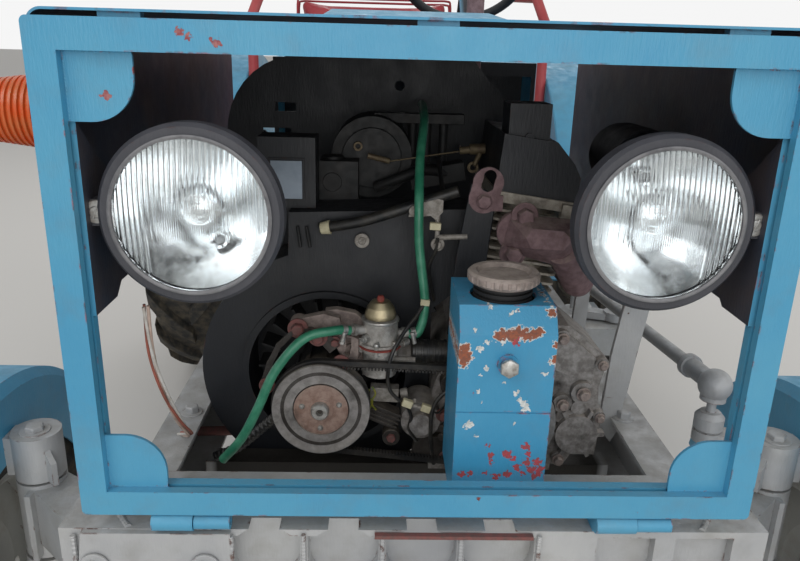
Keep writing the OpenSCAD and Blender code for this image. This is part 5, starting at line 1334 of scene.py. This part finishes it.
class TRACTOR_OT_cockpit(bpy.types.Operator):
    """Makes the dials, switches, pedals, levers and the steering wheel's cap"""
    bl_idname = "tractor.cockpit"
    bl_label = "Driver's place"

    def execute(self, context):
        glass, rims, faces, marks = [bmesh.new() for _ in range(4)]
        # The dashboard's rear face, which the driver sees
        back = 1120
        for x, z, d in ((-150, 420, 90), (-30, 420, 76), (80, 420, 76)):
            turned(
                rims, [(d / 2 - 5, 2), (d / 2, 0), (d / 2 + 3, 3), (d / 2 + 3, 7), (d / 2 - 5, 7)],
                (x, back - 1, z), (0, 1, 0), closed=True)
            rod(faces, (x, back - 1, z), (x, back + 1.5, z), d - 8, sides=48)
            rod(glass, (x, back + 3, z), (x, back + 4.5, z), d - 8, sides=48)
            for k in range(9):
                turn = math.radians(-130 + k * 32.5)
                out = Vector((math.sin(turn), 0, math.cos(turn)))
                place = Vector((x, back + 2, z)) + out * (d / 2 - 10)
                block(marks, (1.6, 0.8, 7), place, Matrix.Rotation(turn, 4, "Y"))
            block(marks, (2, 1, d * 0.32), (x + 4, back + 2.4, z + d * 0.1), Matrix.Rotation(0.35, 4, "Y"))
        for k in range(4):
            turned(
                rims, [(0, 14), (6, 14), (8, 11), (8, 2), (12, 0), (0, 0)], (-200 + k * 46, back - 1, 350),
                (0, 1, 0), steps=20)
        new_piece("dial_rims", rims, "bright_zinc", bevel=0.4)
        new_piece("dial_faces", faces, "dial_black")
        new_piece("dial_marks", marks, "dial_white")
        new_piece("dial_glasses", glass, "lamp_glass")
        # Gear and hand levers, then the three ribbed pedals
        levers = bmesh.new()
        for x, y, z, lean in ((60, 1330, -26, 0.12), (-30, 1380, -26, -0.1)):
            top = Vector((x + 330 * lean, y + 40, z + 330))
            sweep(levers, [(x, y, z), (x, y, z + 120), top - Vector((0, 0, 40)), top], 13, sides=14)
            ball(levers, top + Vector((0, 0, 12)), 38)
        for x in (-230, 200, 270):
            sweep(levers, [(x, 1125, -20), (x, 1150, 40), (x, 1210, 92)], 14, sides=12)
            block(levers, (64, 12, 80), (x, 1216, 100), Matrix.Rotation(-0.7, 4, "X"))
            for k in range(5):
                block(levers, (60, 5, 4), (x, 1208 + k * 8.5, 114 - k * 10), Matrix.Rotation(-0.7, 4, "X"))
        new_piece("pedals_and_levers", levers, "black_paint", bevel=1.2)
        # Cap on the steering wheel's hub, along its column
        cap = bmesh.new()
        tilt = Vector((0, math.sin(math.radians(50)), math.cos(math.radians(50))))
        centre = Vector((174, 1470, 740))
        turned(cap, [(0, 10), (16, 9), (26, 5), (29, 0), (29, -6), (0, -6)], centre, tilt, steps=40)
        new_piece("steering_cap", cap, "belt_rubber", "steering_wheel")
        return {"FINISHED"}


class TRACTOR_OT_bodywork(bpy.types.Operator):
    """Makes the gusset welds, sheet screws and catches of the bonnet"""
    bl_idname = "tractor.bodywork"
    bl_label = "Bodywork fittings"

    def execute(self, context):
        beads = bmesh.new()
        half_w, high, bar = 385, 535, 30
        for sx in (-1, 1):
            for low in (True, False):
                z = bar if low else high - bar
                up = 1 if low else -1
                corner = Vector((sx * (half_w - bar), 15.6, z))
                across, along = Vector((-sx, 0, 0)), Vector((0, 0, up))
                for way, off in ((across, along), (along, across)):
                    weld(beads, [corner + off + way * reach for reach in (66, 30, 2)], 4)
        new_piece("gusset_welds", beads, "blue_paint", "bonnet")
        screws = bmesh.new()
        for side in (-1, 1):
            for k in range(7):
                for z, turn in ((300, k), (500, k * 2)):
                    screw(screws, (side * 384.6, 40 + k * 145, z), d=9, towards=(side, 0, 0), turn=turn)
        new_piece("sheet_screws", screws, "blue_paint", "bonnet")
        catches = bmesh.new()
        for side in (-1, 1):
            block(catches, (5, 60, 26), (side * 386, 880, 262))
            rod(catches, (side * 388, 868, 262), (side * 398, 868, 262), 10)
            rod(catches, (side * 394, 868, 262), (side * 394, 868, 210), 7)
        new_piece("bonnet_catches", catches, "bright_zinc", "bonnet", bevel=0.6)
        return {"FINISHED"}


class TRACTOR_PT_panel(bpy.types.Panel):
    """Lists the steps that dress the tractor"""
    bl_idname = "TRACTOR_PT_panel"
    bl_label = "Tractor"
    bl_space_type = "VIEW_3D"
    bl_region_type = "UI"
    bl_category = "Tractor"

    def draw(self, context):
        for operator in OPERATORS:
            self.layout.operator(operator.bl_idname)


GROUPS = {
    "tractor_stage": TractorStage, "tractor_lamps": TractorLamps, "tractor_belt": TractorBelt,
    "tractor_seat": TractorSeat, "tractor_tyres": TractorTyres}
OPERATORS = (
    TRACTOR_OT_stage, TRACTOR_OT_hoses, TRACTOR_OT_finishes, TRACTOR_OT_headlamps, TRACTOR_OT_belt,
    TRACTOR_OT_wiring, TRACTOR_OT_pump, TRACTOR_OT_engine, TRACTOR_OT_chassis, TRACTOR_OT_bodywork,
    TRACTOR_OT_seat, TRACTOR_OT_rear_tyres, TRACTOR_OT_wheel_nuts, TRACTOR_OT_cockpit)


def register():
    for name, group in GROUPS.items():
        bpy.utils.register_class(group)
        setattr(bpy.types.Scene, name, PointerProperty(type=group))
    for operator in OPERATORS:
        bpy.utils.register_class(operator)
    bpy.utils.register_class(TRACTOR_PT_panel)


def unregister():
    bpy.utils.unregister_class(TRACTOR_PT_panel)
    for operator in reversed(OPERATORS):
        bpy.utils.unregister_class(operator)
    for name, group in GROUPS.items():
        delattr(bpy.types.Scene, name)
        bpy.utils.unregister_class(group)


def main():
    register()
    for operator in OPERATORS:
        space, step = operator.bl_idname.split(".")
        getattr(getattr(bpy.ops, space), step)()


if __name__ == "__main__":
    main()
